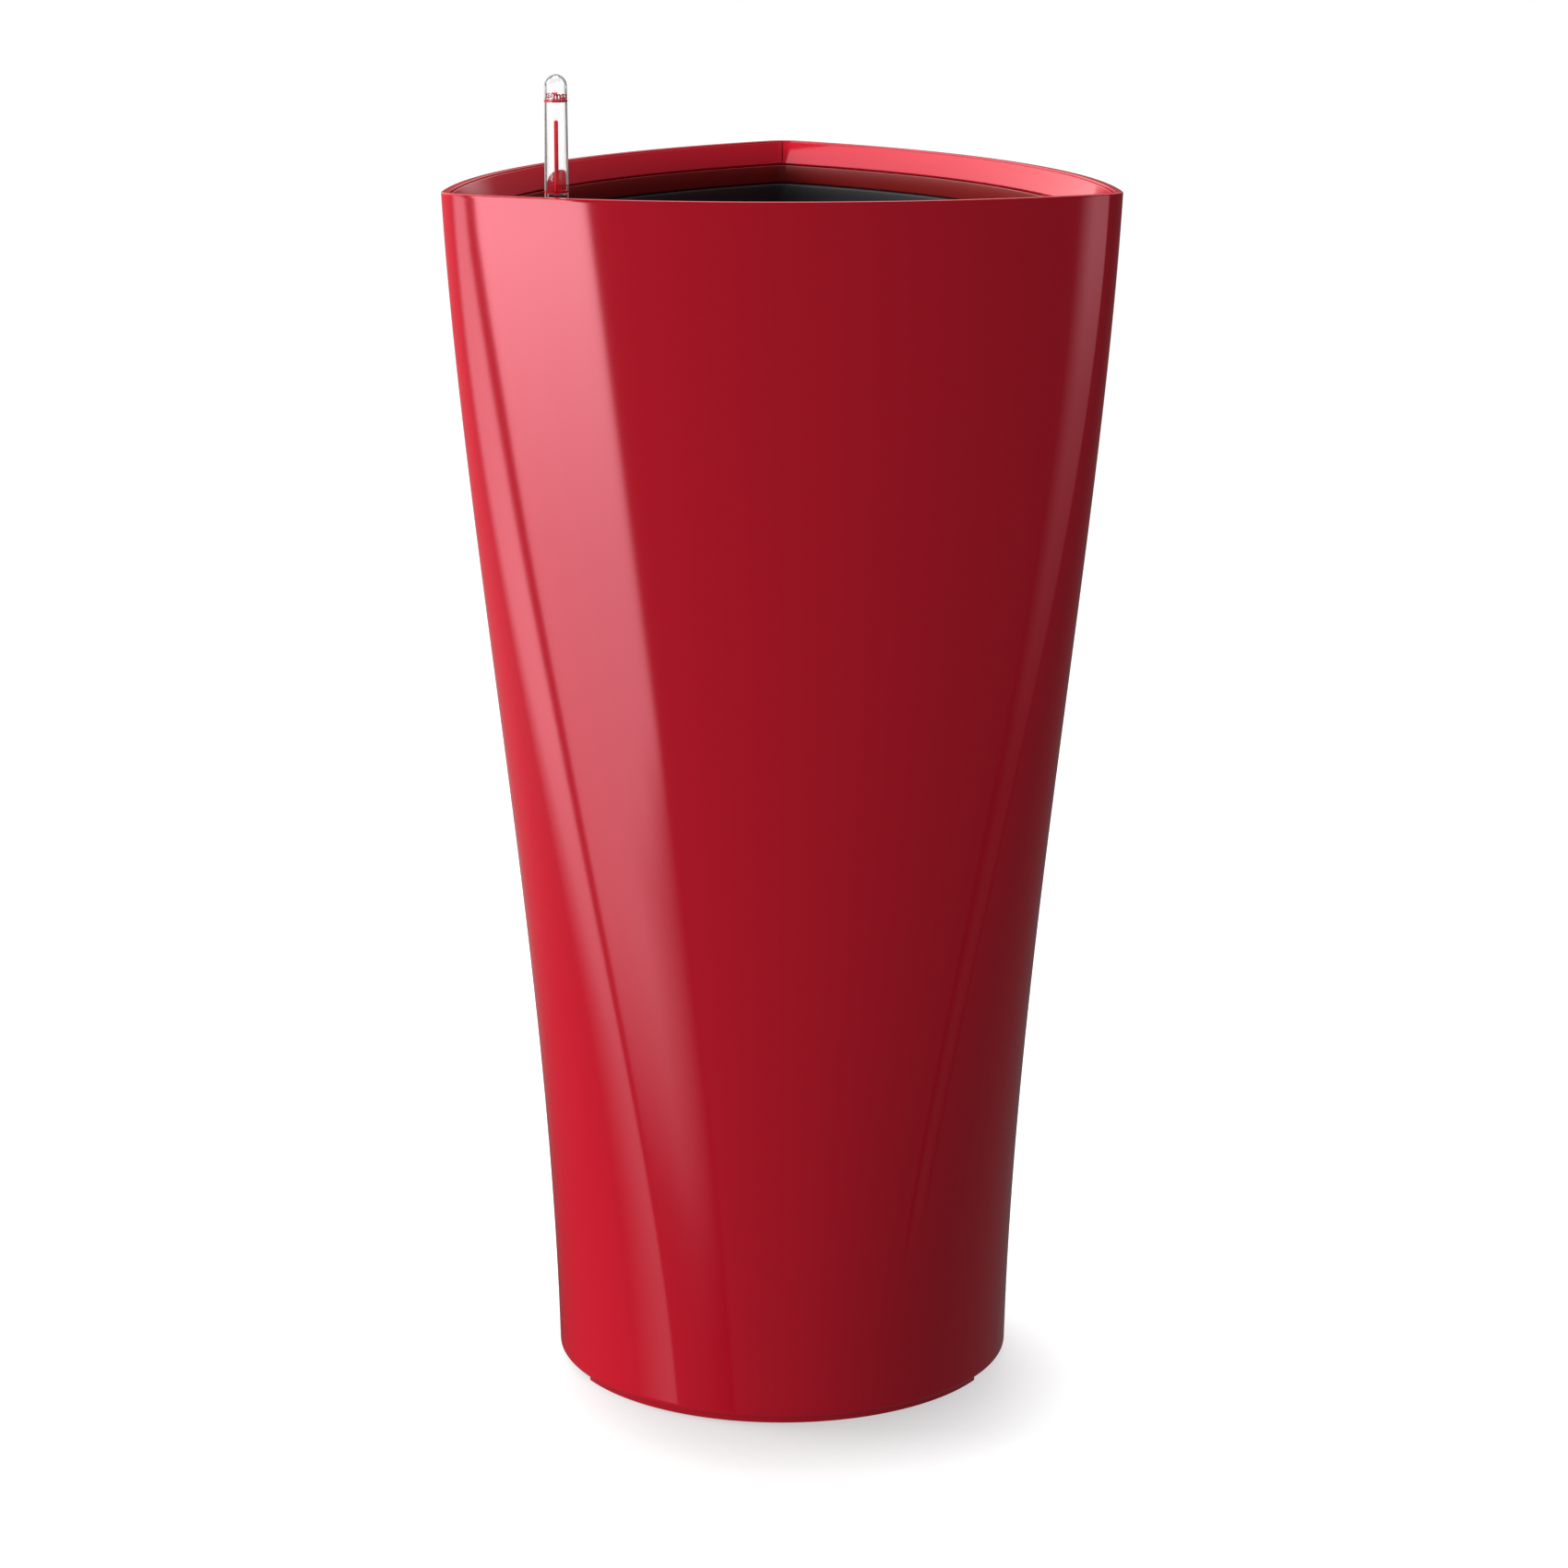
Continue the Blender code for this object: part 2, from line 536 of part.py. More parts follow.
head_top = LINER_BOTTOM - 2.0 * SEAT_GAP - 2.0 * SEAL_CORD
stud = DRAIN_BORE - SLIDE_GAP
screw = piece("drain_screw", turned([
    (DRAIN_HEAD_RADIUS - 0.001, head_top - DRAIN_HEAD), (DRAIN_HEAD_RADIUS, head_top - DRAIN_HEAD + 0.001),
    (DRAIN_HEAD_RADIUS, head_top), (stud, head_top), (stud, LINER_FLOOR_TOP + 0.010),
    (stud - 0.001, LINER_FLOOR_TOP + 0.011)], 24), AXIS)
bm = bmesh.new()
block(bm, Vector((0.0, 0.0, head_top - DRAIN_HEAD - 0.002)), (0.026, 0.005, 0.008))
combine(screw, bm, "UNION")
paint(screw, BLACK, 0.45)

ring = []
for i in range(8):
    a = pi / 4.0 * i
    ring.append((SEAL_RADIUS + SEAL_CORD * cos(a), head_top + SEAT_GAP + SEAL_CORD * (1.0 + sin(a))))
seal = piece("drain_seal", turned(ring, 24), AXIS, closed=True)
paint(seal, (0.02, 0.02, 0.02), 0.8)
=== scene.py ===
"""Looks of a tall self-watering planter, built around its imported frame."""

from math import asin, cos, pi, radians, sin

import bmesh
import bpy
from mathutils import Matrix, Vector


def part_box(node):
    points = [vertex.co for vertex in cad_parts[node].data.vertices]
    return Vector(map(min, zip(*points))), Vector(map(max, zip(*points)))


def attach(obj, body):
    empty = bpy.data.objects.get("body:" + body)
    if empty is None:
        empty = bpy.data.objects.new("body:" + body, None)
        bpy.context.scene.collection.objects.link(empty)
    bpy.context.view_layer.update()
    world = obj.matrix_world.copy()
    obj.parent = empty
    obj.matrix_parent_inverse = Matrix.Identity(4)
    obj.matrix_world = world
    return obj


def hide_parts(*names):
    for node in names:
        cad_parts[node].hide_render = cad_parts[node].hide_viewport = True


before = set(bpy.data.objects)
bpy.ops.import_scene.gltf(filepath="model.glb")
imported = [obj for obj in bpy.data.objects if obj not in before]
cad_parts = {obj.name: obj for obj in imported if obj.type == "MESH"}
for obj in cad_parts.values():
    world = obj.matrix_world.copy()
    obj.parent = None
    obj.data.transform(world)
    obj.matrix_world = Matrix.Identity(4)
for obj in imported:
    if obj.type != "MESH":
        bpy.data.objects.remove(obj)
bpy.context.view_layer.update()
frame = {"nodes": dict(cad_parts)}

bl_info = {
    "name": "Self-Watering Planter",
    "version": (1, 0, 0),
    "blender": (4, 5, 0),
    "location": "View3D > Sidebar > Planter",
    "description": "Builds the finished pieces of a tall self-watering planter",
    "category": "Add Mesh",
}

# The upright axis through the foot, and the gauge's own axis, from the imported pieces
TUBE_LOW, TUBE_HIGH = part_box("gauge_tube")
PIPE_LOW, PIPE_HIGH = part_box("overflow_pipe")
AXIS_X = 0.0
AXIS_Y = (PIPE_LOW[1] + PIPE_HIGH[1]) / 2.0
GAUGE_X = (TUBE_LOW[0] + TUBE_HIGH[0]) / 2.0
GAUGE_Y = (TUBE_LOW[1] + TUBE_HIGH[1]) / 2.0

# How many points a third of the outline gets, and how fine turned pieces are
SIDE_POINTS = 36
CORNER_POINTS = 28
TURN_STEPS = 64

# Levels shared by several pieces, in metres
LEDGE_TOP = 0.7192
FLANGE_BOTTOM = 0.7195
FLANGE_TOP = 0.7235
FRAME_BOTTOM = 0.7238
FRAME_TOP = 0.7352
HANDLE_BOTTOM = 0.7355
HANDLE_TOP = 0.7492
LINER_BOTTOM = 0.470
LINER_FLOOR = 0.4734
LINER_SEAT = 0.4737
PLATE_BOTTOM = 0.548
PLATE_TOP = 0.551
RISER_TOP = 0.7458
TUBE_FOOT = 0.7274
MAX_MARK = 0.8000
MIN_MARK = 0.7474
LEG_ANGLES = (radians(160.0), radians(260.0))
COS30 = cos(radians(30.0))

# Sizes shared by several pieces, in metres
SEAT_GAP = 0.0003
FLOOR_HUB = 0.030
LINER_WALL = 0.003
DRAIN_BORE = 0.0078
SHAFT_RADIUS = 0.018
SHAFT_BORE = 0.016
SHAFT_TOP = 0.722
CHAMBER_RADIUS = 0.015
CHAMBER_BORE = 0.0135
CHAMBER_BOTTOM = 0.47595
CHAMBER_TOP = 0.563
RISER_RADIUS = 0.0061
RISER_BORE = 0.0045
RISER_SLEEVE = 0.0064


class PlanterSizes(bpy.types.PropertyGroup):
    """Driving sizes of the planter's outer form"""

    rim_height: bpy.props.FloatProperty(
        name="Rim Height", description="Height of the shell's rim above the floor",
        default=0.750, unit="LENGTH")
    corner_reach: bpy.props.FloatProperty(
        name="Corner Reach", description="Distance from the axis to a corner of the rim",
        default=0.2261, unit="LENGTH")
    corner_round: bpy.props.FloatProperty(
        name="Corner Rounding", description="Radius of the rim's corners",
        default=0.0175, unit="LENGTH")
    side_round: bpy.props.FloatProperty(
        name="Side Bow", description="Radius of the rim's bowed sides",
        default=0.4163, unit="LENGTH")
    base_radius: bpy.props.FloatProperty(
        name="Base Radius", description="Radius of the round base",
        default=0.1429, unit="LENGTH")
    wall: bpy.props.FloatProperty(
        name="Wall", description="Thickness of the shell's wall",
        default=0.0050, unit="LENGTH")
    frame_gap: bpy.props.FloatProperty(
        name="Frame Gap", description="Gap between the shell's wall and the frame and handles",
        default=0.0009, unit="LENGTH")
    frame_inset: bpy.props.FloatProperty(
        name="Frame Inset", description="Distance from the shell's face to the fixed frame's inner face",
        default=0.0144, unit="LENGTH")
    handle_inset: bpy.props.FloatProperty(
        name="Handle Inset", description="Distance from the shell's face to the handles' lower edge",
        default=0.0134, unit="LENGTH")
    leg_inset: bpy.props.FloatProperty(
        name="Leg Inset", description="Distance from the shell's face to the middle of the handle legs",
        default=0.01145, unit="LENGTH")
    liner_inset: bpy.props.FloatProperty(
        name="Liner Inset", description="Distance from the shell's face to the liner's outer face",
        default=0.0142, unit="LENGTH")


class PlanterFinish(bpy.types.PropertyGroup):
    """Colours of the planter's plastics"""

    shell: bpy.props.FloatVectorProperty(
        name="Shell", description="Colour of the glossy shell and handles",
        default=(0.60, 0.008, 0.024), subtype="COLOR", size=3)
    # Painted shade: the frame's colour is a darker red than the shell's, standing in for the shade that falls
    # on the frame under the handles
    frame: bpy.props.FloatVectorProperty(
        name="Frame", description="Colour of the fixed frame below the handles",
        default=(0.25, 0.013, 0.012), subtype="COLOR", size=3)
    sheen: bpy.props.FloatVectorProperty(
        name="Reflections", description="Tint of the reflections in the glossy red",
        default=(1.0, 0.45, 0.53), subtype="COLOR", size=3)
    liner: bpy.props.FloatVectorProperty(
        name="Liner", description="Colour of the liner, shaft and separator",
        default=(0.022, 0.023, 0.026), subtype="COLOR", size=3)
    fitting: bpy.props.FloatVectorProperty(
        name="Fittings", description="Colour of the riser, cap, chamber and drain screw",
        default=(0.006, 0.006, 0.007), subtype="COLOR", size=3)
    mark: bpy.props.FloatVectorProperty(
        name="Marks", description="Colour of the gauge's rod and printed marks",
        default=(0.72, 0.008, 0.02), subtype="COLOR", size=3)


def sizes():
    return bpy.context.scene.planter_sizes


def finish():
    return bpy.context.scene.planter_finish


def ease(share, low, high):
    """Share of the full size reached at a share of the height, along an S-curve."""
    start, end = 0.0, 1.0
    for _ in range(40):
        k = (start + end) / 2.0
        height = 3.0 * (1.0 - k) ** 2 * k * low[0] + 3.0 * (1.0 - k) * k * k * high[0] + k ** 3
        if height < share:
            start = k
        else:
            end = k
    return 3.0 * (1.0 - k) ** 2 * k * low[1] + 3.0 * (1.0 - k) * k * k * high[1] + k ** 3


class Outline:
    """The planter's plan: round at the base, a bowed triangle at the rim."""

    width_curve = ((0.388, 0.082), (0.730, 0.832))
    corner_curve = ((0.300, 0.150), (0.620, 0.950))
    least_round = 0.006

    def __init__(self):
        s = sizes()
        self.height = s.rim_height
        self.base = s.base_radius
        self.core = s.corner_reach - s.corner_round
        self.bow = (s.side_round - s.corner_round) / self.core
        self.half = asin(COS30 / self.bow)
        self.centre = self.bow * cos(self.half) - 0.5
        self.rim = COS30 * self.core + s.corner_round
        self.angles = []
        for third in range(3):
            side = radians(-90.0 + 120.0 * third)
            turn = 2.0 * self.half
            self.angles += [side - self.half + turn * i / SIDE_POINTS for i in range(SIDE_POINTS)]
            turn = 2.0 * (pi / 3.0 - self.half)
            self.angles += [side + self.half + turn * i / CORNER_POINTS for i in range(CORNER_POINTS)]

    def core_point(self, angle):
        for third in range(3):
            side = radians(-90.0 + 120.0 * third)
            turn = (angle - side + pi) % (2.0 * pi) - pi
            if abs(turn) <= self.half + 1e-9:
                x = self.bow * cos(angle) - self.centre * cos(side)
                y = self.bow * sin(angle) - self.centre * sin(side)
                return x, y
        corner = pi / 2.0 + 2.0 * pi / 3.0 * round((angle - pi / 2.0) / (2.0 * pi / 3.0))
        return cos(corner), sin(corner)

    def point(self, angle, level, inset, height=None):
        share = min(max(level / self.height, 0.0), 1.0)
        reach = self.base + (self.rim - self.base) * ease(share, *self.width_curve)
        core = self.core * ease(share, *self.corner_curve)
        rounding = reach - COS30 * core - inset
        if rounding < self.least_round:
            core -= (self.least_round - rounding) / (self.bow - self.centre)
            rounding = self.least_round
        x, y = self.core_point(angle)
        z = level if height is None else height
        across, along = core * x + rounding * cos(angle), core * y + rounding * sin(angle)
        return Vector((AXIS_X + across, AXIS_Y + along, z))

    def ring(self, level, inset, height=None):
        return [self.point(angle, level, inset, height) for angle in self.angles]

    def round_ring(self, radius, z):
        return [Vector((AXIS_X + radius * cos(a), AXIS_Y + radius * sin(a), z)) for a in self.angles]


def corner(inset, z, radius, start, end, steps=4):
    """Quarter-round steps of a wall's edge as (inset, height) pairs."""
    turns = [radians(start + (end - start) * i / steps) for i in range(steps + 1)]
    return [(inset + radius * cos(t), z + radius * sin(t)) for t in turns]


def first_ring(bm, mark, points):
    made = bmesh.ops.create_circle(bm, segments=len(points), radius=1.0)
    for index, vert in enumerate(made["verts"]):
        vert[mark] = index
        vert.co = points[index]
    return list({edge for vert in made["verts"] for edge in vert.link_edges})


def next_ring(bm, mark, edges, points):
    made = bmesh.ops.extrude_edge_only(bm, edges=edges)["geom"]
    fresh = {item for item in made if isinstance(item, bmesh.types.BMVert)}
    for vert in fresh:
        vert.co = points[vert[mark]]
    edges = [item for item in made if isinstance(item, bmesh.types.BMEdge)]
    return [edge for edge in edges if fresh.issuperset(edge.verts)]


def loft(bm, rings, closed):
    """Skin through rings of equal count; ends are capped unless the row closes on itself."""
    mark = bm.verts.layers.int.get("place") or bm.verts.layers.int.new("place")
    edges = first_ring(bm, mark, rings[0])
    if not closed:
        bmesh.ops.contextual_create(bm, geom=edges)
    for points in rings[1:]:
        edges = next_ring(bm, mark, edges, points)
    if closed:
        next_ring(bm, mark, edges, rings[0])
    else:
        bmesh.ops.contextual_create(bm, geom=edges)


def spin_profile(bm, profile, closed, centre, steps=TURN_STEPS):
    """Turned shape from (radius, height) pairs about an upright axis."""
    verts = [bm.verts.new((radius, 0.0, z)) for radius, z in profile]
    edges = [bm.edges.new(pair) for pair in zip(verts, verts[1:])]
    if closed:
        edges.append(bm.edges.new((verts[-1], verts[0])))
    before = set(bm.verts) - set(verts)
    bmesh.ops.spin(bm, geom=verts + edges, cent=(0, 0, 0), axis=(0, 0, 1), angle=2.0 * pi,
                   steps=steps, use_merge=True)
    bmesh.ops.translate(bm, vec=(centre[0], centre[1], 0.0), verts=[v for v in bm.verts if v not in before])


def sleeve(outer, bore, low, high):
    """Profile of a plain upright tube."""
    return [(outer, low), (outer, high), (bore, high), (bore, low)]


def soften(bm, offset, segments=2, limit=35.0):
    """Round every edge sharper than the limit."""
    bmesh.ops.remove_doubles(bm, verts=bm.verts, dist=2e-6)
    bmesh.ops.recalc_face_normals(bm, faces=bm.faces)
    if offset:
        sharp = [e for e in bm.edges if len(e.link_faces) == 2 and e.calc_face_angle(0.0) > radians(limit)]
        bmesh.ops.bevel(bm, geom=sharp, offset=offset, offset_type="OFFSET", affect="EDGES",
                        segments=segments, profile=0.5, material=-1, clamp_overlap=True)


def box(bm, centre, size, turn=0.0):
    place = Matrix.Translation(centre) @ Matrix.Rotation(turn, 4, "Z") @ Matrix.Diagonal((*size, 1.0))
    bmesh.ops.create_cube(bm, size=1.0, matrix=place)


def make_object(bm, name, material=None):
    bmesh.ops.remove_doubles(bm, verts=bm.verts, dist=2e-6)
    bmesh.ops.recalc_face_normals(bm, faces=bm.faces)
    for face in bm.faces:
        face.smooth = True
    mesh = bpy.data.meshes.new(name)
    bm.to_mesh(mesh)
    bm.free()
    item = bpy.data.objects.new(name, mesh)
    bpy.context.scene.collection.objects.link(item)
    if material:
        mesh.materials.append(material)
    return item


def carve(item, bm):
    """Take simple shapes out of a piece, and keep the result as its mesh."""
    cutter = make_object(bm, item.name + "_cutter")
    step = item.modifiers.new("Carve", "BOOLEAN")
    step.operation = "DIFFERENCE"
    step.solver = "EXACT"
    step.object = cutter
    graph = bpy.context.evaluated_depsgraph_get()
    cut = bpy.data.meshes.new_from_object(item.evaluated_get(graph))
    item.modifiers.clear()
    item.data = cut
    bpy.data.objects.remove(cutter, do_unlink=True)


def crisp(item, limit=35.0):
    """Smooth faces, with edges over the limit kept sharp."""
    item.data.set_sharp_from_angle(angle=radians(limit))


def plastic(name, colour, roughness, grain=0.0, grain_scale=900.0):
    material = bpy.data.materials.get(name)
    if material:
        return material
    material = bpy.data.materials.new(name)
    material.use_nodes = True
    nodes = material.node_tree.nodes
    links = material.node_tree.links
    shader = nodes["Principled BSDF"]
    shader.inputs["Base Color"].default_value = (*colour, 1.0)
    shader.inputs["Roughness"].default_value = roughness
    shader.inputs["IOR"].default_value = 1.5
    if grain:
        place = nodes.new("ShaderNodeTexCoord")
        noise = nodes.new("ShaderNodeTexNoise")
        noise.inputs["Scale"].default_value = grain_scale
        noise.inputs["Detail"].default_value = 3.0
        bump = nodes.new("ShaderNodeBump")
        bump.inputs["Strength"].default_value = grain
        bump.inputs["Distance"].default_value = 0.0002
        links.new(place.outputs["Object"], noise.inputs["Vector"])
        links.new(noise.outputs["Fac"], bump.inputs["Height"])
        links.new(bump.outputs["Normal"], shader.inputs["Normal"])
    return material


def gloss(name, roughness):
    """Glossy red whose reflections take on some of its colour."""
    material = plastic(name, finish().shell, roughness)
    shader = material.node_tree.nodes["Principled BSDF"]
    shader.inputs["Specular IOR Level"].default_value = 1.0
    shader.inputs["Specular Tint"].default_value = (*finish().sheen, 1.0)
    return material


def shell_plastic():
    return gloss("Gloss red plastic", 0.07)


def handle_plastic():
    return gloss("Handle red plastic", 0.09)


# Painted shade: the frame's darker red stands in for the shade under the handles
def painted_shade_frame_plastic():
    return plastic("Frame red plastic", finish().frame, 0.30)


def liner_plastic():
    return plastic("Matt charcoal plastic", finish().liner, 0.5, grain=0.35)


def fitting_plastic():
    return plastic("Satin black plastic", finish().fitting, 0.35, grain=0.1)


def mark_plastic():
    return plastic("Gauge red", finish().mark, 0.25)


def foam():
    return plastic("Pale foam", (0.72, 0.71, 0.66), 0.7, grain=0.4, grain_scale=1500.0)


def rubber():
    return plastic("Black rubber", (0.012, 0.012, 0.012), 0.75)


def clear_plastic():
    """Clear plastic with painted shade on its outlines: where it is seen edge on, it turns dark and opaque
    and loses its reflection.
    """
    material = plastic("Clear gauge plastic", (1.0, 1.0, 1.0), 0.01)
    shader = material.node_tree.nodes["Principled BSDF"]
    shader.inputs["Transmission Weight"].default_value = 1.0
    shader.inputs["IOR"].default_value = 1.49
    nodes, links = material.node_tree.nodes, material.node_tree.links
    # Painted shade: towards the outlines the base colour goes dark while transmission and reflection fade out
    rim = nodes.new("ShaderNodeLayerWeight")
    rim.inputs["Blend"].default_value = 0.5
    painted_edge_shade = nodes.new("ShaderNodeMapRange")
    painted_edge_shade.inputs["From Min"].default_value = 0.40
    painted_edge_shade.inputs["To Min"].default_value = 1.0
    painted_edge_shade.inputs["To Max"].default_value = 0.03
    links.new(rim.outputs["Facing"], painted_edge_shade.inputs["Value"])
    links.new(painted_edge_shade.outputs["Result"], shader.inputs["Base Color"])
    solid = nodes.new("ShaderNodeMapRange")
    solid.inputs["From Min"].default_value = 0.55
    solid.inputs["From Max"].default_value = 0.80
    solid.inputs["To Min"].default_value = 1.0
    solid.inputs["To Max"].default_value = 0.0
    links.new(rim.outputs["Facing"], solid.inputs["Value"])
    links.new(solid.outputs["Result"], shader.inputs["Transmission Weight"])
    sheen = nodes.new("ShaderNodeMath")
    sheen.operation = "MULTIPLY"
    sheen.inputs[1].default_value = 0.08
    links.new(solid.outputs["Result"], sheen.inputs[0])
    links.new(sheen.outputs[0], shader.inputs["Specular IOR Level"])
    return material


def leg_slots(bm, plan, height, depth):
    """Shapes of the four slots that the handle legs slide in."""
    thick, wide = 0.0033, 0.0188
    for angle in LEG_ANGLES:
        for facing in (angle, pi - angle):
            centre = plan.point(facing, HANDLE_BOTTOM, sizes().leg_inset, height)
            box(bm, centre, (thick, wide, depth), facing)


def settle(item, body, slot, *nodes):
    """Put a finished piece on its body, in place of its frame nodes; the slot is not used."""
    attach(item, body)
    if nodes:
        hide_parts(*nodes)


class PLANTER_OT_shell(bpy.types.Operator):
    """Glossy tapered shell with its rim, inner ledge, floor and foot arcs"""

    bl_idname = "planter.shell"
    bl_label = "Shell"

    def execute(self, context):
        plan = Outline()
        s = sizes()
        bottom, floor, blend = 0.004, 0.010, 0.005
        edge, bead, straight = 0.0024, 0.0006, 0.0015
        bore, bore_edge = 0.010, 0.0005
        ledge, ledge_round, fade_end, inner_run = 0.0086, 0.0007, 0.688, 0.672
        low, high = bottom + edge, s.rim_height - bead
        path = [(FLOOR_HUB, bottom), (0.008, bottom)]
        path += corner(edge, low, edge, 270.0, 180.0, 6)
        path += [(0.0, low + 0.002)]
        path += [(0.0, low + (high - low) * i / 70.0) for i in range(1, 70)]
        path += [(0.0, high - straight)]
        path += corner(bead, high, bead, 180.0, 90.0)
        path += corner(s.wall - bead, high, bead, 90.0, 0.0)
        path += [(s.wall, z) for z in (high - straight, 0.738, 0.727, LEDGE_TOP + 0.001)]
        path += [(s.wall + 0.0003, LEDGE_TOP), (ledge - 0.001, LEDGE_TOP)]
        path += corner(ledge - ledge_round, LEDGE_TOP - ledge_round, ledge_round, 90.0, 0.0, 3)
        path += [(ledge, LEDGE_TOP - 0.004), (ledge - 0.0003, LEDGE_TOP - 0.006)]
        path += [(s.wall + 0.0005, LEDGE_TOP - 0.024)]
        path += [(s.wall, fade_end - inner_run * i / 30.0) for i in range(30)]
        path += corner(s.wall + blend, floor + blend, blend, 180.0, 270.0, 5)
        path += [(FLOOR_HUB, floor)]
        rings = [plan.round_ring(bore + bore_edge, bottom), plan.round_ring(FLOOR_HUB, bottom)]
        rings += [plan.ring(z, inset) for inset, z in path]
        rings += [plan.round_ring(FLOOR_HUB, floor), plan.round_ring(bore + bore_edge, floor)]
        rings += [plan.round_ring(bore, floor - bore_edge), plan.round_ring(bore, bottom + bore_edge)]
        bm = bmesh.new()
        loft(bm, rings, closed=True)
        self.add_foot(bm, bottom)
        item = make_object(bm, "shell", shell_plastic())
        crisp(item, 50.0)
        settle(item, "shell", "shell_red", "outer_shell")
        return {"FINISHED"}

    def add_foot(self, bm, top):
        outer, width, lip, half = 0.1398, 0.012, 0.0008, radians(60.0)
        section = [(outer - width + lip, 0.0), (outer - lip, 0.0), (outer - 0.0002, 0.0003), (outer, lip)]
        section += [(outer, top + 0.001), (outer - width, top + 0.001), (outer - width, lip)]
        for middle in (-pi / 2.0, pi / 2.0):
            verts = [bm.verts.new((radius, 0.0, z)) for radius, z in section]
            face = bm.faces.new(verts)
            kept = set(bm.verts) - set(verts)
            start = Matrix.Rotation(middle - half, 4, "Z")
            bmesh.ops.transform(bm, matrix=start, verts=verts)
            bmesh.ops.spin(bm, geom=[face], cent=(0, 0, 0), axis=(0, 0, 1), angle=2.0 * half, steps=48)
            fresh = [v for v in bm.verts if v not in kept]
            bmesh.ops.translate(bm, vec=(AXIS_X, AXIS_Y, 0.0), verts=fresh)


class PLANTER_OT_liner(bpy.types.Operator):
    """Matt liner that hangs in the shell by a slotted flange"""

    bl_idname = "planter.liner"
    bl_label = "Liner"

    def execute(self, context):
        plan = Outline()
        outer = sizes().liner_inset
        inner = outer + LINER_WALL
        edge, foot, roll, fillet = 0.0006, 0.004, 0.0011, 0.003
        reach = sizes().wall + 0.001
        low, run = LINER_BOTTOM + foot, 0.2405
        path = [(outer + FLOOR_HUB, LINER_BOTTOM), (outer + 0.008, LINER_BOTTOM)]
        path += corner(outer + foot, low, foot, 270.0, 180.0)
        path += [(outer, low + run * i / 16.0) for i in range(1, 17)]
        path += [(outer, FLANGE_BOTTOM - 0.001), (outer - 0.0004, FLANGE_BOTTOM)]
        path += corner(reach + edge, FLANGE_BOTTOM + edge, edge, 270.0, 180.0, 3)
        path += corner(reach + edge, FLANGE_TOP - edge, edge, 180.0, 90.0, 3)
        path += corner(inner - roll, FLANGE_TOP - roll, roll, 90.0, 0.0)
        path += [(inner, 0.718 - 0.2410 * i / 16.0) for i in range(17)]
        path += corner(inner + fillet, LINER_FLOOR + fillet, fillet, 180.0, 270.0)
        path += [(inner + FLOOR_HUB, LINER_FLOOR)]
        rings = [plan.round_ring(radius, LINER_BOTTOM) for radius in (DRAIN_BORE, FLOOR_HUB)]
        rings += [plan.ring(z, inset) for inset, z in path]
        rings += [plan.round_ring(radius, LINER_FLOOR) for radius in (FLOOR_HUB, DRAIN_BORE)]
        bm = bmesh.new()
        loft(bm, rings, closed=True)
        item = make_object(bm, "liner_pot", liner_plastic())
        bm = bmesh.new()
        leg_slots(bm, plan, FLANGE_TOP, 0.012)
        carve(item, bm)
        crisp(item, 45.0)
        settle(item, "liner", "liner_charcoal", "liner")
        return {"FINISHED"}


class PLANTER_OT_frame(bpy.types.Operator):
    """Fixed red frame that stands on the liner's flange"""

    bl_idname = "planter.frame"
    bl_label = "Frame"

    def execute(self, context):
        plan = Outline()
        outer, inner = sizes().wall + sizes().frame_gap, sizes().frame_inset
        edge, roll = 0.0006, 0.0014
        section = corner(outer + edge, FRAME_BOTTOM + edge, edge, 270.0, 180.0, 2)
        section += corner(outer + edge, FRAME_TOP - edge, edge, 180.0, 90.0, 2)
        section += corner(inner - edge, FRAME_TOP - edge, edge, 90.0, 0.0, 4)
        section += corner(inner - roll, FRAME_BOTTOM + roll, roll, 0.0, -90.0, 5)
        bm = bmesh.new()
        rings = [[plan.point(angle, z, inset) for inset, z in section] for angle in plan.angles]
        loft(bm, rings, closed=True)
        item = make_object(bm, "fixed_frame", painted_shade_frame_plastic())
        bm = bmesh.new()
        leg_slots(bm, plan, (FRAME_BOTTOM + FRAME_TOP) / 2.0, 0.03)
        carve(item, bm)
        crisp(item, 50.0)
        settle(item, "liner", "handle_red", "liner_frame")
        return {"FINISHED"}


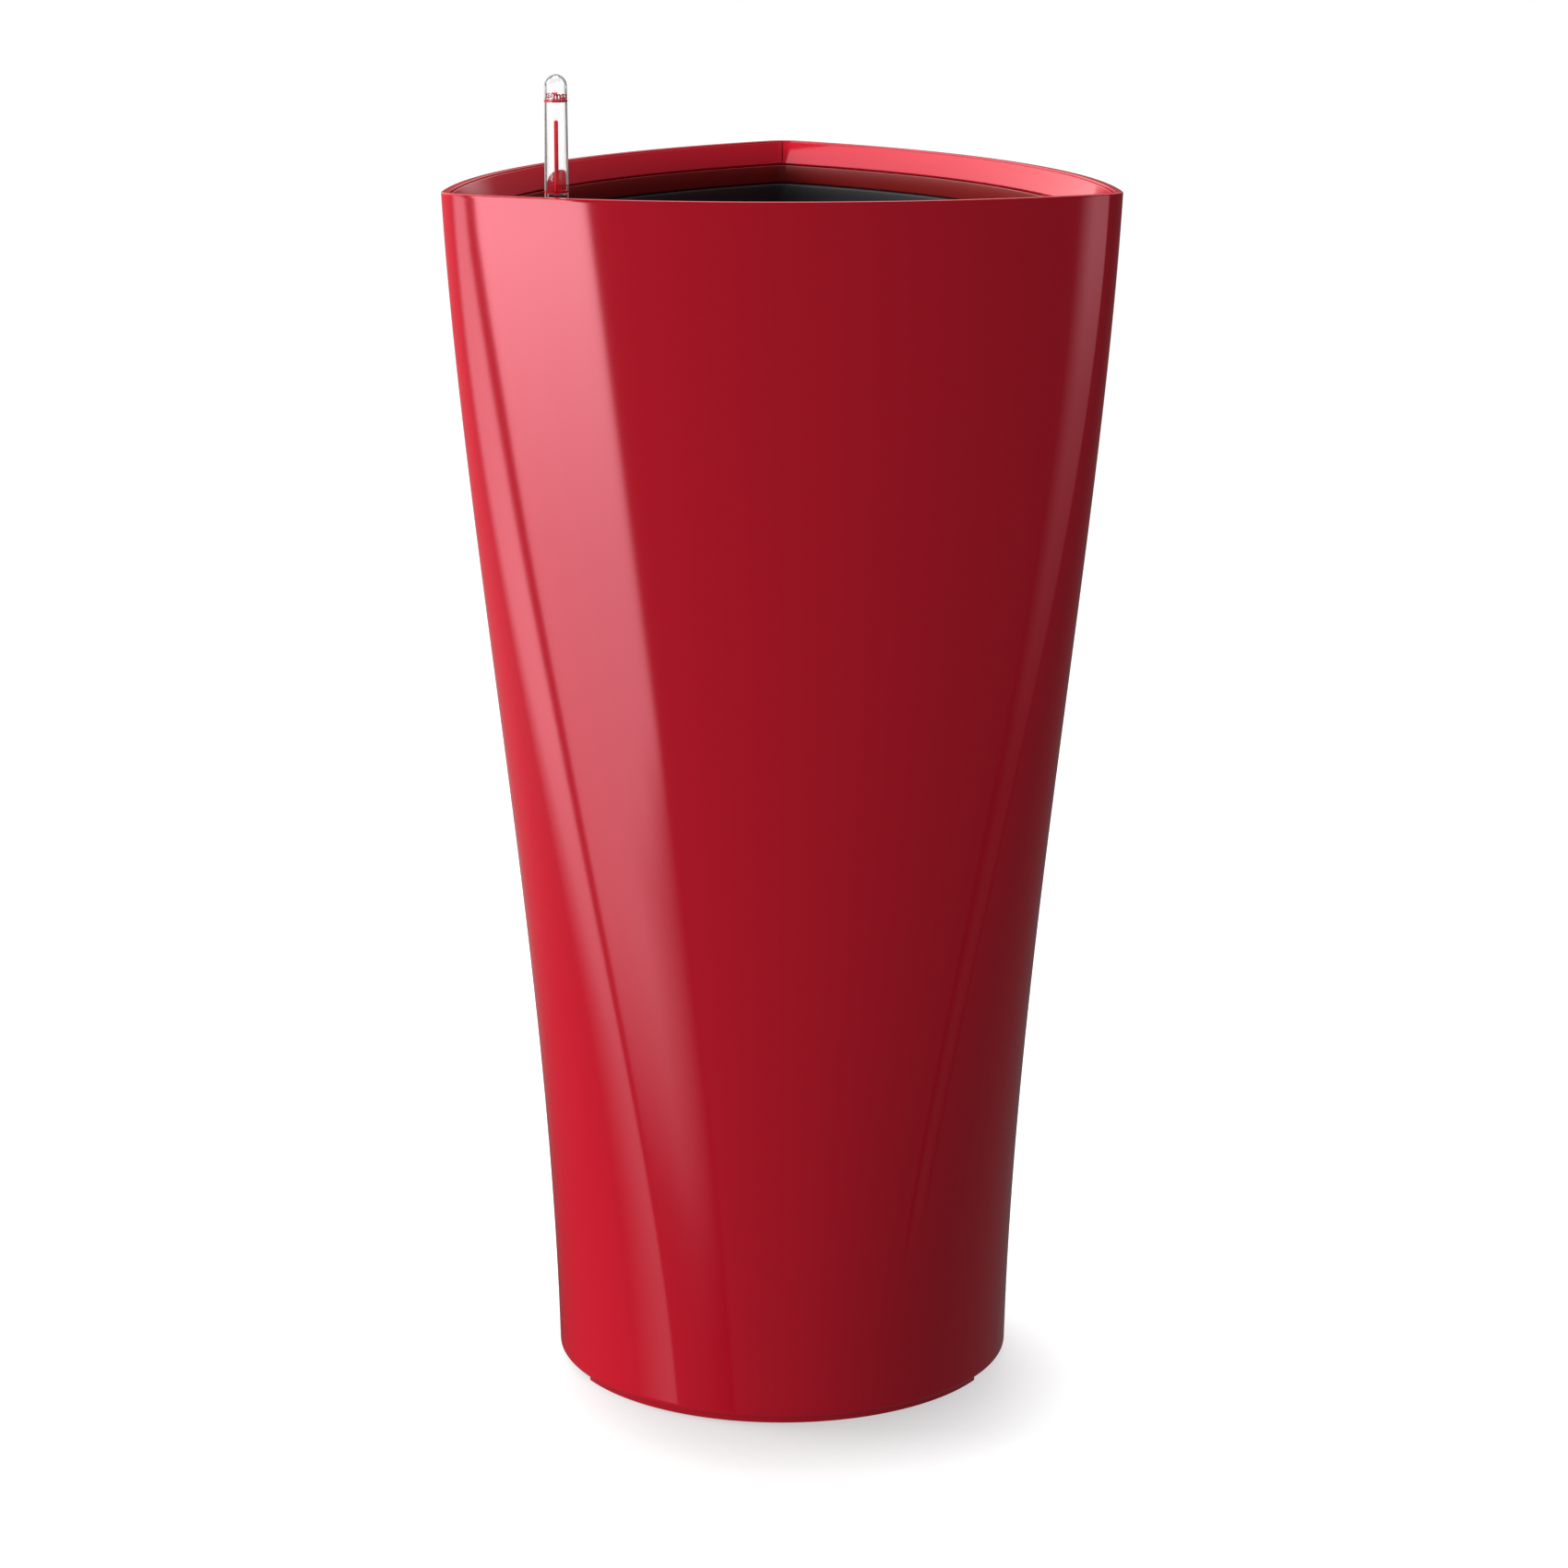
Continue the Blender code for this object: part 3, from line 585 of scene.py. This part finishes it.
class PLANTER_OT_handles(bpy.types.Operator):
    """Two sloping half-rail handles on hooked legs"""

    bl_idname = "planter.handles"
    bl_label = "Handles"

    def execute(self, context):
        for name, hand in (("handle_left", 1.0), ("handle_right", -1.0)):
            self.handle(name, hand)
        return {"FINISHED"}

    def handle(self, name, hand):
        plan = Outline()
        outer, inner = sizes().wall + sizes().frame_gap, sizes().handle_inset
        edge, lip, slope, seam = 0.0005, 0.0009, 27.5, 0.0003
        section = corner(outer + edge, HANDLE_BOTTOM + edge, edge, 270.0, 180.0, 2)
        section += corner(outer + edge, HANDLE_TOP - edge, edge, 180.0, slope, 5)
        section += corner(inner - lip, HANDLE_BOTTOM + lip, lip, slope, -90.0, 6)
        turns = [a for a in plan.angles if pi / 2.0 - 1e-6 < a < 1.5 * pi + 1e-6]
        turns = sorted(turns + [a + 2.0 * pi for a in plan.angles if a < -pi / 2.0 + 1e-6])
        rings = []
        for angle in turns:
            ring = [plan.point(angle, z, inset) for inset, z in section]
            for point in ring:
                point.x = hand * min(point.x, -seam)
            rings.append(ring)
        bm = bmesh.new()
        loft(bm, rings, closed=False)
        rail = set(bm.faces)
        thick, wide, tall = 0.0025, 0.018, 0.005
        top, foot = HANDLE_BOTTOM + 0.0012, HANDLE_BOTTOM - 0.085
        for angle in LEG_ANGLES:
            middle = plan.point(angle, HANDLE_BOTTOM, sizes().leg_inset, 0.0)
            facing = angle if hand > 0 else pi - angle
            middle.x *= hand
            box(bm, middle + Vector((0, 0, (top + foot) / 2.0)), (thick, wide, top - foot), facing)
            box(bm, middle + Vector((0, 0, foot + tall / 2.0)), (thick - 0.0001, wide + 0.007, tall), facing)
        edges = {e for f in bm.faces if f not in rail for e in f.edges}
        bmesh.ops.bevel(bm, geom=list(edges), offset=0.0004, offset_type="OFFSET", affect="EDGES",
                        segments=2, profile=0.5, material=-1, clamp_overlap=True)
        item = make_object(bm, name + "_rail", handle_plastic())
        crisp(item, 50.0)
        settle(item, name, "handle_red", name)


class PLANTER_OT_gauge_tube(bpy.types.Operator):
    """Clear domed gauge tube with its printed level marks"""

    bl_idname = "planter.gauge_tube"
    bl_label = "Gauge Tube"

    foot_radius, top_radius, wall = 0.0073, 0.0067, 0.0010

    def radius_at(self, z):
        top = TUBE_HIGH[2] - self.top_radius
        share = (z - TUBE_FOOT) / (top - TUBE_FOOT)
        return self.foot_radius + (self.top_radius - self.foot_radius) * share

    def execute(self, context):
        centre = (GAUGE_X, GAUGE_Y)
        peak = TUBE_HIGH[2]
        dome = peak - self.top_radius
        hollow = self.top_radius - self.wall
        turns = [pi / 2.0 * i / 10.0 for i in range(11)]
        profile = [(hollow * cos(t), dome + hollow * sin(t)) for t in reversed(turns)]
        profile += [(0.0062, 0.7475), (RISER_SLEEVE, RISER_TOP), (RISER_SLEEVE, TUBE_FOOT)]
        profile += [(self.foot_radius, TUBE_FOOT)]
        profile += [(self.top_radius * cos(t), dome + self.top_radius * sin(t)) for t in turns]
        bm = bmesh.new()
        spin_profile(bm, profile, False, centre)
        item = make_object(bm, "gauge_glass", clear_plastic())
        item.visible_shadow = False
        crisp(item, 40.0)
        settle(item, "gauge", "gauge_clear", "gauge_tube")
        for name, height, word in (("mark_max", MAX_MARK, "max"), ("mark_min", MIN_MARK, "min")):
            self.mark(name, height, word, centre)
        return {"FINISHED"}

    def mark(self, name, height, word, centre):
        lift, half, skin = 0.00004, 0.0006, 0.00012
        radius = self.radius_at(height)
        profile = [(radius + lift, height - half), (radius + lift + skin, height - half),
                   (radius + lift + skin, height + half), (radius + lift, height + half)]
        bm = bmesh.new()
        spin_profile(bm, profile, True, centre)
        item = make_object(bm, name + "_ring", mark_plastic())
        crisp(item)
        settle(item, "gauge", "rod_red")
        rise = 0.0013
        for side, turn in (("front", radians(-55.0)), ("rear", radians(125.0))):
            self.word("%s_word_%s" % (name, side), word, height + rise, turn)

    def word(self, name, text, base, turn):
        """A printed word, bent round the tube above its ring."""
        curve = bpy.data.curves.new(name, "FONT")
        curve.body = text
        curve.size = 0.0062
        curve.offset = 0.00020
        curve.align_x = "CENTER"
        curve.resolution_u = 4
        flat = bpy.data.objects.new(name, curve)
        bpy.context.scene.collection.objects.link(flat)
        graph = bpy.context.evaluated_depsgraph_get()
        letters = bpy.data.meshes.new_from_object(flat.evaluated_get(graph))
        bpy.data.objects.remove(flat, do_unlink=True)
        bm = bmesh.new()
        bm.from_mesh(letters)
        bmesh.ops.remove_doubles(bm, verts=bm.verts, dist=1e-6)
        bmesh.ops.solidify(bm, geom=bm.faces, thickness=0.00008)
        low = min(v.co.z for v in bm.verts)
        radius = self.radius_at(base) + 0.00006
        for vert in bm.verts:
            angle = turn + vert.co.x / radius
            out = radius + vert.co.z - low
            vert.co = Vector((GAUGE_X + out * cos(angle), GAUGE_Y + out * sin(angle), base + vert.co.y))
        item = make_object(bm, name, mark_plastic())
        crisp(item)
        settle(item, "gauge", "rod_red")


class PLANTER_OT_gauge_fittings(bpy.types.Operator):
    """Riser, shaft cap, float chamber and chamber cap"""

    bl_idname = "planter.gauge_fittings"
    bl_label = "Gauge Fittings"

    centre = (GAUGE_X, GAUGE_Y)

    def execute(self, context):
        self.riser()
        self.cap()
        self.chamber()
        self.strainer()
        return {"FINISHED"}

    def turned(self, name, profile, round_over):
        bm = bmesh.new()
        spin_profile(bm, profile, True, self.centre)
        soften(bm, round_over)
        return make_object(bm, name, fitting_plastic())

    def place(self, item, node):
        crisp(item)
        settle(item, "gauge", "fitting_black", node)

    def riser(self):
        foot = CHAMBER_TOP + SEAT_GAP
        item = self.turned("riser", sleeve(RISER_RADIUS, RISER_BORE, foot, RISER_TOP), 0.0003)
        self.place(item, "riser_tube")

    def cap(self):
        """Cap on the shaft, with two water slots beside the riser."""
        radius, plug_radius = 0.020, SHAFT_BORE - SEAT_GAP
        under = SHAFT_TOP + SEAT_GAP
        top, foot = under + 0.0048, under - 0.010
        item = self.turned("cap", [
            (plug_radius, foot), (plug_radius, under), (radius, under), (radius, top),
            (RISER_SLEEVE, top), (RISER_SLEEVE, foot)], 0.0005)
        slot_reach, slot, slot_round = 0.01105, (0.0065, 0.012, 0.04), 0.0015
        bm = bmesh.new()
        for side in (-1.0, 1.0):
            box(bm, Vector((GAUGE_X + side * slot_reach, GAUGE_Y, under)), slot)
        upright = [e for e in bm.edges if abs(e.verts[0].co.z - e.verts[1].co.z) > slot[2] / 2.0]
        bmesh.ops.bevel(bm, geom=upright, offset=slot_round, offset_type="OFFSET", affect="EDGES",
                        segments=4, profile=0.5, material=-1)
        carve(item, bm)
        self.place(item, "shaft_cap")

    def chamber(self):
        """Float chamber with a collar for the riser and three water slots."""
        shoulder, collar, collar_rise, roof = 0.001, 0.0086, 0.012, 0.003
        ceiling = CHAMBER_TOP - roof
        item = self.turned("chamber", [
            (CHAMBER_RADIUS, CHAMBER_BOTTOM), (CHAMBER_RADIUS, CHAMBER_TOP - shoulder),
            (CHAMBER_RADIUS - shoulder, CHAMBER_TOP), (collar, CHAMBER_TOP),
            (collar, CHAMBER_TOP + collar_rise), (RISER_SLEEVE, CHAMBER_TOP + collar_rise),
            (RISER_SLEEVE, CHAMBER_TOP), (RISER_BORE, CHAMBER_TOP), (RISER_BORE, ceiling),
            (CHAMBER_BORE, ceiling), (CHAMBER_BORE, CHAMBER_BOTTOM)], 0.0003)
        slot, slot_rise = (0.008, 0.006, 0.050), 0.040
        bm = bmesh.new()
        for i in range(3):
            turn = pi / 2.0 + 2.0 * pi / 3.0 * i
            x, y = GAUGE_X + CHAMBER_RADIUS * cos(turn), GAUGE_Y + CHAMBER_RADIUS * sin(turn)
            box(bm, Vector((x, y, CHAMBER_BOTTOM + slot_rise)), slot, turn)
        carve(item, bm)
        self.place(item, "float_chamber")

    def strainer(self):
        """Cap under the chamber, with a lip inside it and a hole for the water."""
        thick, lip, lip_wall, hole = 0.0016, 0.004, 0.002, 0.003
        base = CHAMBER_BOTTOM - SEAT_GAP - thick
        floor, top = base + thick, base + thick + lip
        seat = CHAMBER_BORE - SEAT_GAP
        item = self.turned("strainer", [
            (CHAMBER_RADIUS, base), (CHAMBER_RADIUS, floor), (seat, floor), (seat, top),
            (seat - lip_wall, top), (seat - lip_wall, floor), (hole, floor), (hole, base)], 0.0002)
        self.place(item, "chamber_cap")


class PLANTER_OT_float(bpy.types.Operator):
    """Pale float and its red indicator rod"""

    bl_idname = "planter.float"
    bl_label = "Float"

    def execute(self, context):
        centre = (GAUGE_X, GAUGE_Y)
        low, high, chamfer = 0.5222, 0.5482, 0.002
        reach, bore = 0.0128, 0.00155
        bm = bmesh.new()
        spin_profile(bm, [
            (reach - chamfer, low), (reach, low + chamfer), (reach, high - chamfer), (reach - chamfer, high),
            (bore, high), (bore, low)], True, centre)
        soften(bm, 0.0006, 3, 20.0)
        item = make_object(bm, "buoy", foam())
        crisp(item)
        settle(item, "float", "float_pale", "float_body")
        tip, radius = 0.7888, 0.00125
        turns = [pi / 2.0 * i / 8.0 for i in range(9)]
        profile = [(0.0, low + 0.001), (radius, low + 0.001)]
        profile += [(radius * cos(t), tip - radius + radius * sin(t)) for t in turns]
        bm = bmesh.new()
        spin_profile(bm, profile, False, centre, 32)
        item = make_object(bm, "rod", mark_plastic())
        crisp(item, 50.0)
        settle(item, "float", "rod_red", "float_rod")
        return {"FINISHED"}


class PLANTER_OT_shaft(bpy.types.Operator):
    """Water shaft and overflow pipe that stand in the liner"""

    bl_idname = "planter.shaft"
    bl_label = "Water Shaft"

    def execute(self, context):
        grey = liner_plastic()
        bm = bmesh.new()
        spin_profile(bm, sleeve(SHAFT_RADIUS, SHAFT_BORE, LINER_SEAT, SHAFT_TOP), True, (GAUGE_X, GAUGE_Y))
        soften(bm, 0.0005)
        item = make_object(bm, "shaft", grey)
        gate = (0.008, 0.008, 0.024)
        bm = bmesh.new()
        for i in range(4):
            turn = pi / 4.0 + pi / 2.0 * i
            x, y = GAUGE_X + SHAFT_RADIUS * cos(turn), GAUGE_Y + SHAFT_RADIUS * sin(turn)
            box(bm, Vector((x, y, LINER_SEAT)), gate, turn)
        carve(item, bm)
        crisp(item)
        settle(item, "liner", "liner_charcoal", "water_shaft")
        foot, pipe = 0.014, 0.010
        step, top = LINER_SEAT + 0.002, LINER_SEAT + 0.060
        bm = bmesh.new()
        spin_profile(bm, [
            (foot, LINER_SEAT), (foot, step), (pipe, step), (pipe, top),
            (DRAIN_BORE, top), (DRAIN_BORE, LINER_SEAT)], True, (AXIS_X, AXIS_Y))
        soften(bm, 0.0004)
        item = make_object(bm, "overflow", grey)
        crisp(item)
        settle(item, "liner", "liner_charcoal", "overflow_pipe")
        return {"FINISHED"}


class PLANTER_OT_separator(bpy.types.Operator):
    """Perforated separator plate on three wicking cups"""

    bl_idname = "planter.separator"
    bl_label = "Separator"

    cup_spread, cup_radius, cup_foot, cup_wall = 0.085, 0.0215, 0.017, 0.002
    hole_radius, inner_holes, outer_holes, hole_turn = 0.004, 0.048, 0.112, 13.0

    def execute(self, context):
        turns = [pi / 2.0 + 2.0 * pi / 3.0 * i for i in range(3)]
        cups = [self.spot(self.cup_spread, turn) for turn in turns]
        self.plate(cups)
        for number, place in enumerate(cups, 1):
            self.cup(number, place)
        return {"FINISHED"}

    def spot(self, reach, turn):
        return AXIS_X + reach * cos(turn), AXIS_Y + reach * sin(turn)

    def plate(self, cups):
        plan = Outline()
        gap, slide_gap = 0.0012, 0.0004
        inset = sizes().liner_inset + LINER_WALL + gap
        bm = bmesh.new()
        loft(bm, [plan.ring(PLATE_BOTTOM, inset, z) for z in (PLATE_BOTTOM, PLATE_TOP)], closed=False)
        soften(bm, 0.0006)
        item = make_object(bm, "separator", liner_plastic())
        holes = [(AXIS_X, AXIS_Y, self.hole_radius)]
        spots = [(self.inner_holes, 30.0 + 60.0 * i) for i in range(6)]
        for side in (30.0, 150.0, 270.0):
            spots += [(self.outer_holes, side + turn) for turn in (-self.hole_turn, self.hole_turn)]
        holes += [(*self.spot(reach, radians(turn)), self.hole_radius) for reach, turn in spots]
        holes += [(x, y, self.cup_radius + SEAT_GAP) for x, y in cups]
        holes.append((GAUGE_X, GAUGE_Y, SHAFT_RADIUS + slide_gap))
        bm = bmesh.new()
        for x, y, radius in holes:
            place = Matrix.Translation((x, y, (PLATE_BOTTOM + PLATE_TOP) / 2.0))
            bmesh.ops.create_cone(bm, cap_ends=True, segments=40, radius1=radius, radius2=radius,
                                  depth=0.02, matrix=place)
        carve(item, bm)
        crisp(item)
        settle(item, "separator", "liner_charcoal", "separator_plate")

    def cup(self, number, place):
        """Wicking cup whose shoulder carries the plate."""
        flange, lip, rise = 0.025, 0.003, 0.0005
        shoulder = PLATE_BOTTOM - SEAT_GAP
        top, floor = PLATE_TOP + rise, LINER_SEAT + self.cup_wall
        bm = bmesh.new()
        spin_profile(bm, [
            (0.0, LINER_SEAT), (self.cup_foot, LINER_SEAT), (self.cup_radius - 0.001, shoulder - lip),
            (flange, shoulder - lip), (flange, shoulder), (self.cup_radius, shoulder), (self.cup_radius, top),
            (self.cup_radius - self.cup_wall, top), (self.cup_foot - self.cup_wall, floor), (0.0, floor)],
            False, place)
        soften(bm, 0.0004)
        item = make_object(bm, "cup_%d" % number, liner_plastic())
        slot, slot_rise = (0.010, 0.004, 0.030), 0.022
        bm = bmesh.new()
        for i in range(4):
            turn = pi / 4.0 + pi / 2.0 * i
            x, y = place[0] + self.cup_foot * cos(turn), place[1] + self.cup_foot * sin(turn)
            box(bm, Vector((x, y, LINER_SEAT + slot_rise)), slot, turn)
        carve(item, bm)
        crisp(item)
        settle(item, "separator", "liner_charcoal", "wick_cup_%d" % number)


class PLANTER_OT_drain(bpy.types.Operator):
    """Drain screw and its seal under the liner"""

    bl_idname = "planter.drain"
    bl_label = "Drain"

    def execute(self, context):
        centre = (AXIS_X, AXIS_Y)
        top, stud_top = 0.4664, 0.4844
        head, head_height, stud, chamfer = 0.017, 0.008, 0.0074, 0.001
        under = top - head_height
        bm = bmesh.new()
        spin_profile(bm, [
            (0.0, under), (head - chamfer, under), (head, under + chamfer), (head, top), (stud, top),
            (stud, stud_top - chamfer), (stud - chamfer, stud_top), (0.0, stud_top)], False, centre)
        box(bm, Vector((AXIS_X, AXIS_Y, top - 0.010)), (0.026, 0.005, 0.008))
        soften(bm, 0.0005)
        item = make_object(bm, "screw", fitting_plastic())
        crisp(item)
        settle(item, "drain", "fitting_black", "drain_screw")
        turns = [2.0 * pi * i / 16.0 for i in range(16)]
        ring, cord = 0.0125, 0.0015
        middle = top + SEAT_GAP + cord
        bm = bmesh.new()
        spin_profile(bm, [(ring + cord * cos(t), middle + cord * sin(t)) for t in turns], True, centre)
        item = make_object(bm, "seal", rubber())
        settle(item, "drain", "seal_black", "drain_seal")
        return {"FINISHED"}


def fade(value, steps):
    """Straight-line value between (place, level) pairs in rising order."""
    if value <= steps[0][0]:
        return steps[0][1]
    for (start, first), (end, last) in zip(steps, steps[1:]):
        if value <= end:
            return first + (last - first) * (value - start) / (end - start)
    return steps[-1][1]


class PLANTER_OT_stage(bpy.types.Operator):
    """Pale floor, soft studio light and the camera"""

    bl_idname = "planter.stage"
    bl_label = "Stage"

    radius = 2.2
    shade_forward = 0.05
    room_level = 0.11
    lens, tilt = 97.36, 0.24
    camera_side, camera_back, camera_height = 0.0011, 2.57805, 1.00112

    def execute(self, context):
        scene = context.scene
        scene.view_settings.view_transform = "Standard"
        self.floor()
        self.world(scene)
        self.panel("left_panel", -1.00, 0.90, self.left_edges, self.left_glow)
        self.panel("side_panel", -1.00, 3.20, self.side_edges, self.side_glow)
        self.panel("right_card", -0.80, 0.90, self.card_edges, self.card_glow)
        self.softbox("Back softbox", (-0.2, 0.8, 2.9), (0.0, 0.0, 0.6), (1.6, 1.2), 58.0)
        self.softbox("Key softbox", (-2.3, 0.55, 1.9), (0.0, 0.0, 0.45), (1.2, 1.2), 46.0)
        self.softbox("Fill softbox", (1.2, -2.2, 2.4), (0.0, 0.0, 0.35), (1.4, 1.4), 5.0)
        self.softbox("Low softbox", (1.7, -0.5, 0.35), (0.0, 0.0, 0.10), (0.5, 0.5), 2.2)
        self.camera(scene)
        return {"FINISHED"}

    def left_edges(self, z):
        return self.strip(z), -30.5 - 9.0 * z

    def strip(self, z):
        """Turn of the dark strip between the two left panels at a height."""
        return fade(z, ((-0.35, -51.5), (0.05, -53.0), (0.35, -55.0)))

    def left_glow(self, turn, z):
        level = fade(z, ((-0.72, 0.1), (-0.50, 2.2), (-0.12, 3.7), (0.31, 6.6)))
        soft = fade(z, ((-0.42, 13.0), (-0.28, 1.5), (0.20, 1.0)))
        return level * fade(self.left_edges(z)[1] - turn, ((0.0, 0.0), (soft, 1.0)))

    def side_edges(self, z):
        return -165.0, self.strip(z) - 2.2

    def side_glow(self, turn, z):
        low = fade(turn, ((-135.0, 0.3), (-76.0, 0.6), (-56.0, 4.4)))
        high = fade(turn, ((-165.0, 1.2), (-130.0, 1.7), (-55.0, 1.9)))
        level = low + (high - low) * fade(z, ((0.55, 0.0), (1.10, 1.0)))
        return level * fade(z, ((-0.75, 0.2), (-0.30, 1.0)))

    def card_edges(self, z):
        return 53.0, 63.0

    def card_glow(self, turn, z):
        level = fade(z, ((-0.40, 0.15), (-0.15, 0.45), (0.05, 0.8), (0.30, 1.8)))
        return level * fade(turn, ((53.0, 0.0), (56.0, 1.0), (59.0, 0.9), (63.0, 0.2)))

    def panel(self, name, low, high, edges, glow):
        """Curved light panel round the planter; its glow is stored on the mesh."""
        bm = bmesh.new()
        across, up = 24, 26
        bmesh.ops.create_grid(bm, x_segments=across, y_segments=up, size=0.5)
        layer = bm.verts.layers.float.new("glow")
        for vert in bm.verts:
            z = low + (high - low) * (vert.co.y + 0.5)
            start, end = edges(z)
            turn = start + (end - start) * (vert.co.x + 0.5)
            vert[layer] = glow(turn, z)
            angle = radians(turn)
            vert.co = Vector((AXIS_X + self.radius * sin(angle), AXIS_Y - self.radius * cos(angle), z))
        material = bpy.data.materials.new(name)
        material.use_nodes = True
        nodes, links = material.node_tree.nodes, material.node_tree.links
        nodes.remove(nodes["Principled BSDF"])
        light = nodes.new("ShaderNodeEmission")
        level = nodes.new("ShaderNodeAttribute")
        level.attribute_name = "glow"
        links.new(level.outputs["Fac"], light.inputs["Strength"])
        links.new(light.outputs["Emission"], nodes["Material Output"].inputs["Surface"])
        item = make_object(bm, name, material)
        item.visible_camera = False
        item.visible_shadow = False
        item.visible_transmission = False

    def floor(self):
        bm = bmesh.new()
        bmesh.ops.create_grid(bm, x_segments=1, y_segments=1, size=14.0)
        material = bpy.data.materials.new("Pale floor")
        material.use_nodes = True
        nodes, links = material.node_tree.nodes, material.node_tree.links
        shader = nodes["Principled BSDF"]
        shader.inputs["Base Color"].default_value = (0.35, 0.35, 0.35, 1.0)
        shader.inputs["Specular IOR Level"].default_value = 0.0
        ray = nodes.new("ShaderNodeLightPath")
        # Painted shadow: for camera and transmission rays the floor's glow is dimmed to half in a soft patch
        # round the foot, centred a little in front of it and narrower sideways; the lamps also cast a real
        # shadow on the grey floor
        place = nodes.new("ShaderNodeTexCoord")
        painted_shadow_distance = nodes.new("ShaderNodeVectorMath")
        painted_shadow_distance.operation = "DISTANCE"
        painted_shadow_distance.inputs[1].default_value = (AXIS_X, AXIS_Y - self.shade_forward, 0.0)
        narrow = nodes.new("ShaderNodeVectorMath")
        narrow.operation = "MULTIPLY"
        narrow.inputs[1].default_value = (1.1, 1.0, 1.0)
        links.new(place.outputs["Object"], narrow.inputs[0])
        links.new(narrow.outputs["Vector"], painted_shadow_distance.inputs[0])
        rise = nodes.new("ShaderNodeMapRange")
        rise.interpolation_type = "SMOOTHSTEP"
        rise.inputs["From Min"].default_value = 0.085
        rise.inputs["From Max"].default_value = 0.27
        rise.inputs["To Min"].default_value = 0.50
        rise.inputs["To Max"].default_value = 1.0
        links.new(painted_shadow_distance.outputs["Value"], rise.inputs["Value"])
        straight, through = ray.outputs["Is Camera Ray"], ray.outputs["Is Transmission Ray"]
        seen = self.join(nodes, links, "MAXIMUM", straight, through)
        glow = self.join(nodes, links, "MULTIPLY", seen, rise.outputs["Result"])
        shader.inputs["Emission Color"].default_value = (1.0, 1.0, 1.0, 1.0)
        links.new(glow, shader.inputs["Emission Strength"])
        item = make_object(bm, "floor", material)
        item.visible_glossy = False
        item.visible_diffuse = False
        item.visible_shadow = False

    def world(self, scene):
        world = bpy.data.worlds.new("Studio")
        scene.world = world
        world.use_nodes = True
        nodes, links = world.node_tree.nodes, world.node_tree.links
        back = nodes["Background"]
        place = nodes.new("ShaderNodeTexCoord")
        split = nodes.new("ShaderNodeSeparateXYZ")
        links.new(place.outputs["Generated"], split.inputs["Vector"])
        behind = self.ramp(nodes, links, split.outputs["Y"], 0.80, 0.97)
        above = self.ramp(nodes, links, split.outputs["Z"], 0.10, 0.25)
        ray = nodes.new("ShaderNodeLightPath")
        through = self.join(nodes, links, "MAXIMUM", above, ray.outputs["Is Transmission Ray"])
        backdrop = self.join(nodes, links, "MULTIPLY", behind, through)
        seen = self.join(nodes, links, "MAXIMUM", backdrop, ray.outputs["Is Camera Ray"])
        level = nodes.new("ShaderNodeMath")
        level.operation = "MAXIMUM"
        level.inputs[1].default_value = self.room_level
        links.new(seen, level.inputs[0])
        back.inputs["Color"].default_value = (1.0, 1.0, 1.0, 1.0)
        links.new(level.outputs[0], back.inputs["Strength"])

    def ramp(self, nodes, links, source, start, end):
        ramp = nodes.new("ShaderNodeMapRange")
        ramp.interpolation_type = "SMOOTHSTEP"
        ramp.inputs["From Min"].default_value = start
        ramp.inputs["From Max"].default_value = end
        links.new(source, ramp.inputs["Value"])
        return ramp.outputs["Result"]

    def join(self, nodes, links, operation, first, second):
        node = nodes.new("ShaderNodeMath")
        node.operation = operation
        links.new(first, node.inputs[0])
        links.new(second, node.inputs[1])
        return node.outputs[0]

    def softbox(self, name, place, aim, size, power):
        light = bpy.data.lights.new(name, "AREA")
        light.shape = "RECTANGLE"
        light.size, light.size_y = size
        light.energy = power
        item = bpy.data.objects.new(name, light)
        item.location = place
        item.rotation_euler = (Vector(aim) - Vector(place)).to_track_quat("-Z", "Y").to_euler()
        item.visible_glossy = False
        bpy.context.scene.collection.objects.link(item)

    def camera(self, scene):
        lens = bpy.data.cameras.new("Camera")
        lens.sensor_width = 36.0
        lens.lens = self.lens
        lens.clip_end = 100.0
        item = bpy.data.objects.new("Camera", lens)
        item.location = (self.camera_side, AXIS_Y - self.camera_back, self.camera_height)
        item.rotation_euler = (pi / 2.0 - self.tilt, 0.0, 0.0)
        scene.collection.objects.link(item)
        scene.camera = item


STEPS = (
    PLANTER_OT_shell,
    PLANTER_OT_liner,
    PLANTER_OT_frame,
    PLANTER_OT_handles,
    PLANTER_OT_gauge_tube,
    PLANTER_OT_gauge_fittings,
    PLANTER_OT_float,
    PLANTER_OT_shaft,
    PLANTER_OT_separator,
    PLANTER_OT_drain,
    PLANTER_OT_stage,
)


class PLANTER_PT_panel(bpy.types.Panel):
    """Sidebar list of the planter's pieces and sizes"""

    bl_label = "Planter"
    bl_idname = "PLANTER_PT_panel"
    bl_space_type = "VIEW_3D"
    bl_region_type = "UI"
    bl_category = "Planter"

    def draw(self, context):
        for group in (context.scene.planter_sizes, context.scene.planter_finish):
            for name in group.__annotations__:
                self.layout.prop(group, name)
        for step in STEPS:
            self.layout.operator(step.bl_idname)


CLASSES = (PlanterSizes, PlanterFinish, *STEPS, PLANTER_PT_panel)


def register():
    for item in CLASSES:
        bpy.utils.register_class(item)
    bpy.types.Scene.planter_sizes = bpy.props.PointerProperty(type=PlanterSizes)
    bpy.types.Scene.planter_finish = bpy.props.PointerProperty(type=PlanterFinish)


def unregister():
    del bpy.types.Scene.planter_finish
    del bpy.types.Scene.planter_sizes
    for item in reversed(CLASSES):
        bpy.utils.unregister_class(item)


def main():
    register()
    for step in STEPS:
        group, name = step.bl_idname.split(".")
        getattr(getattr(bpy.ops, group), name)()


if __name__ == "__main__":
    main()
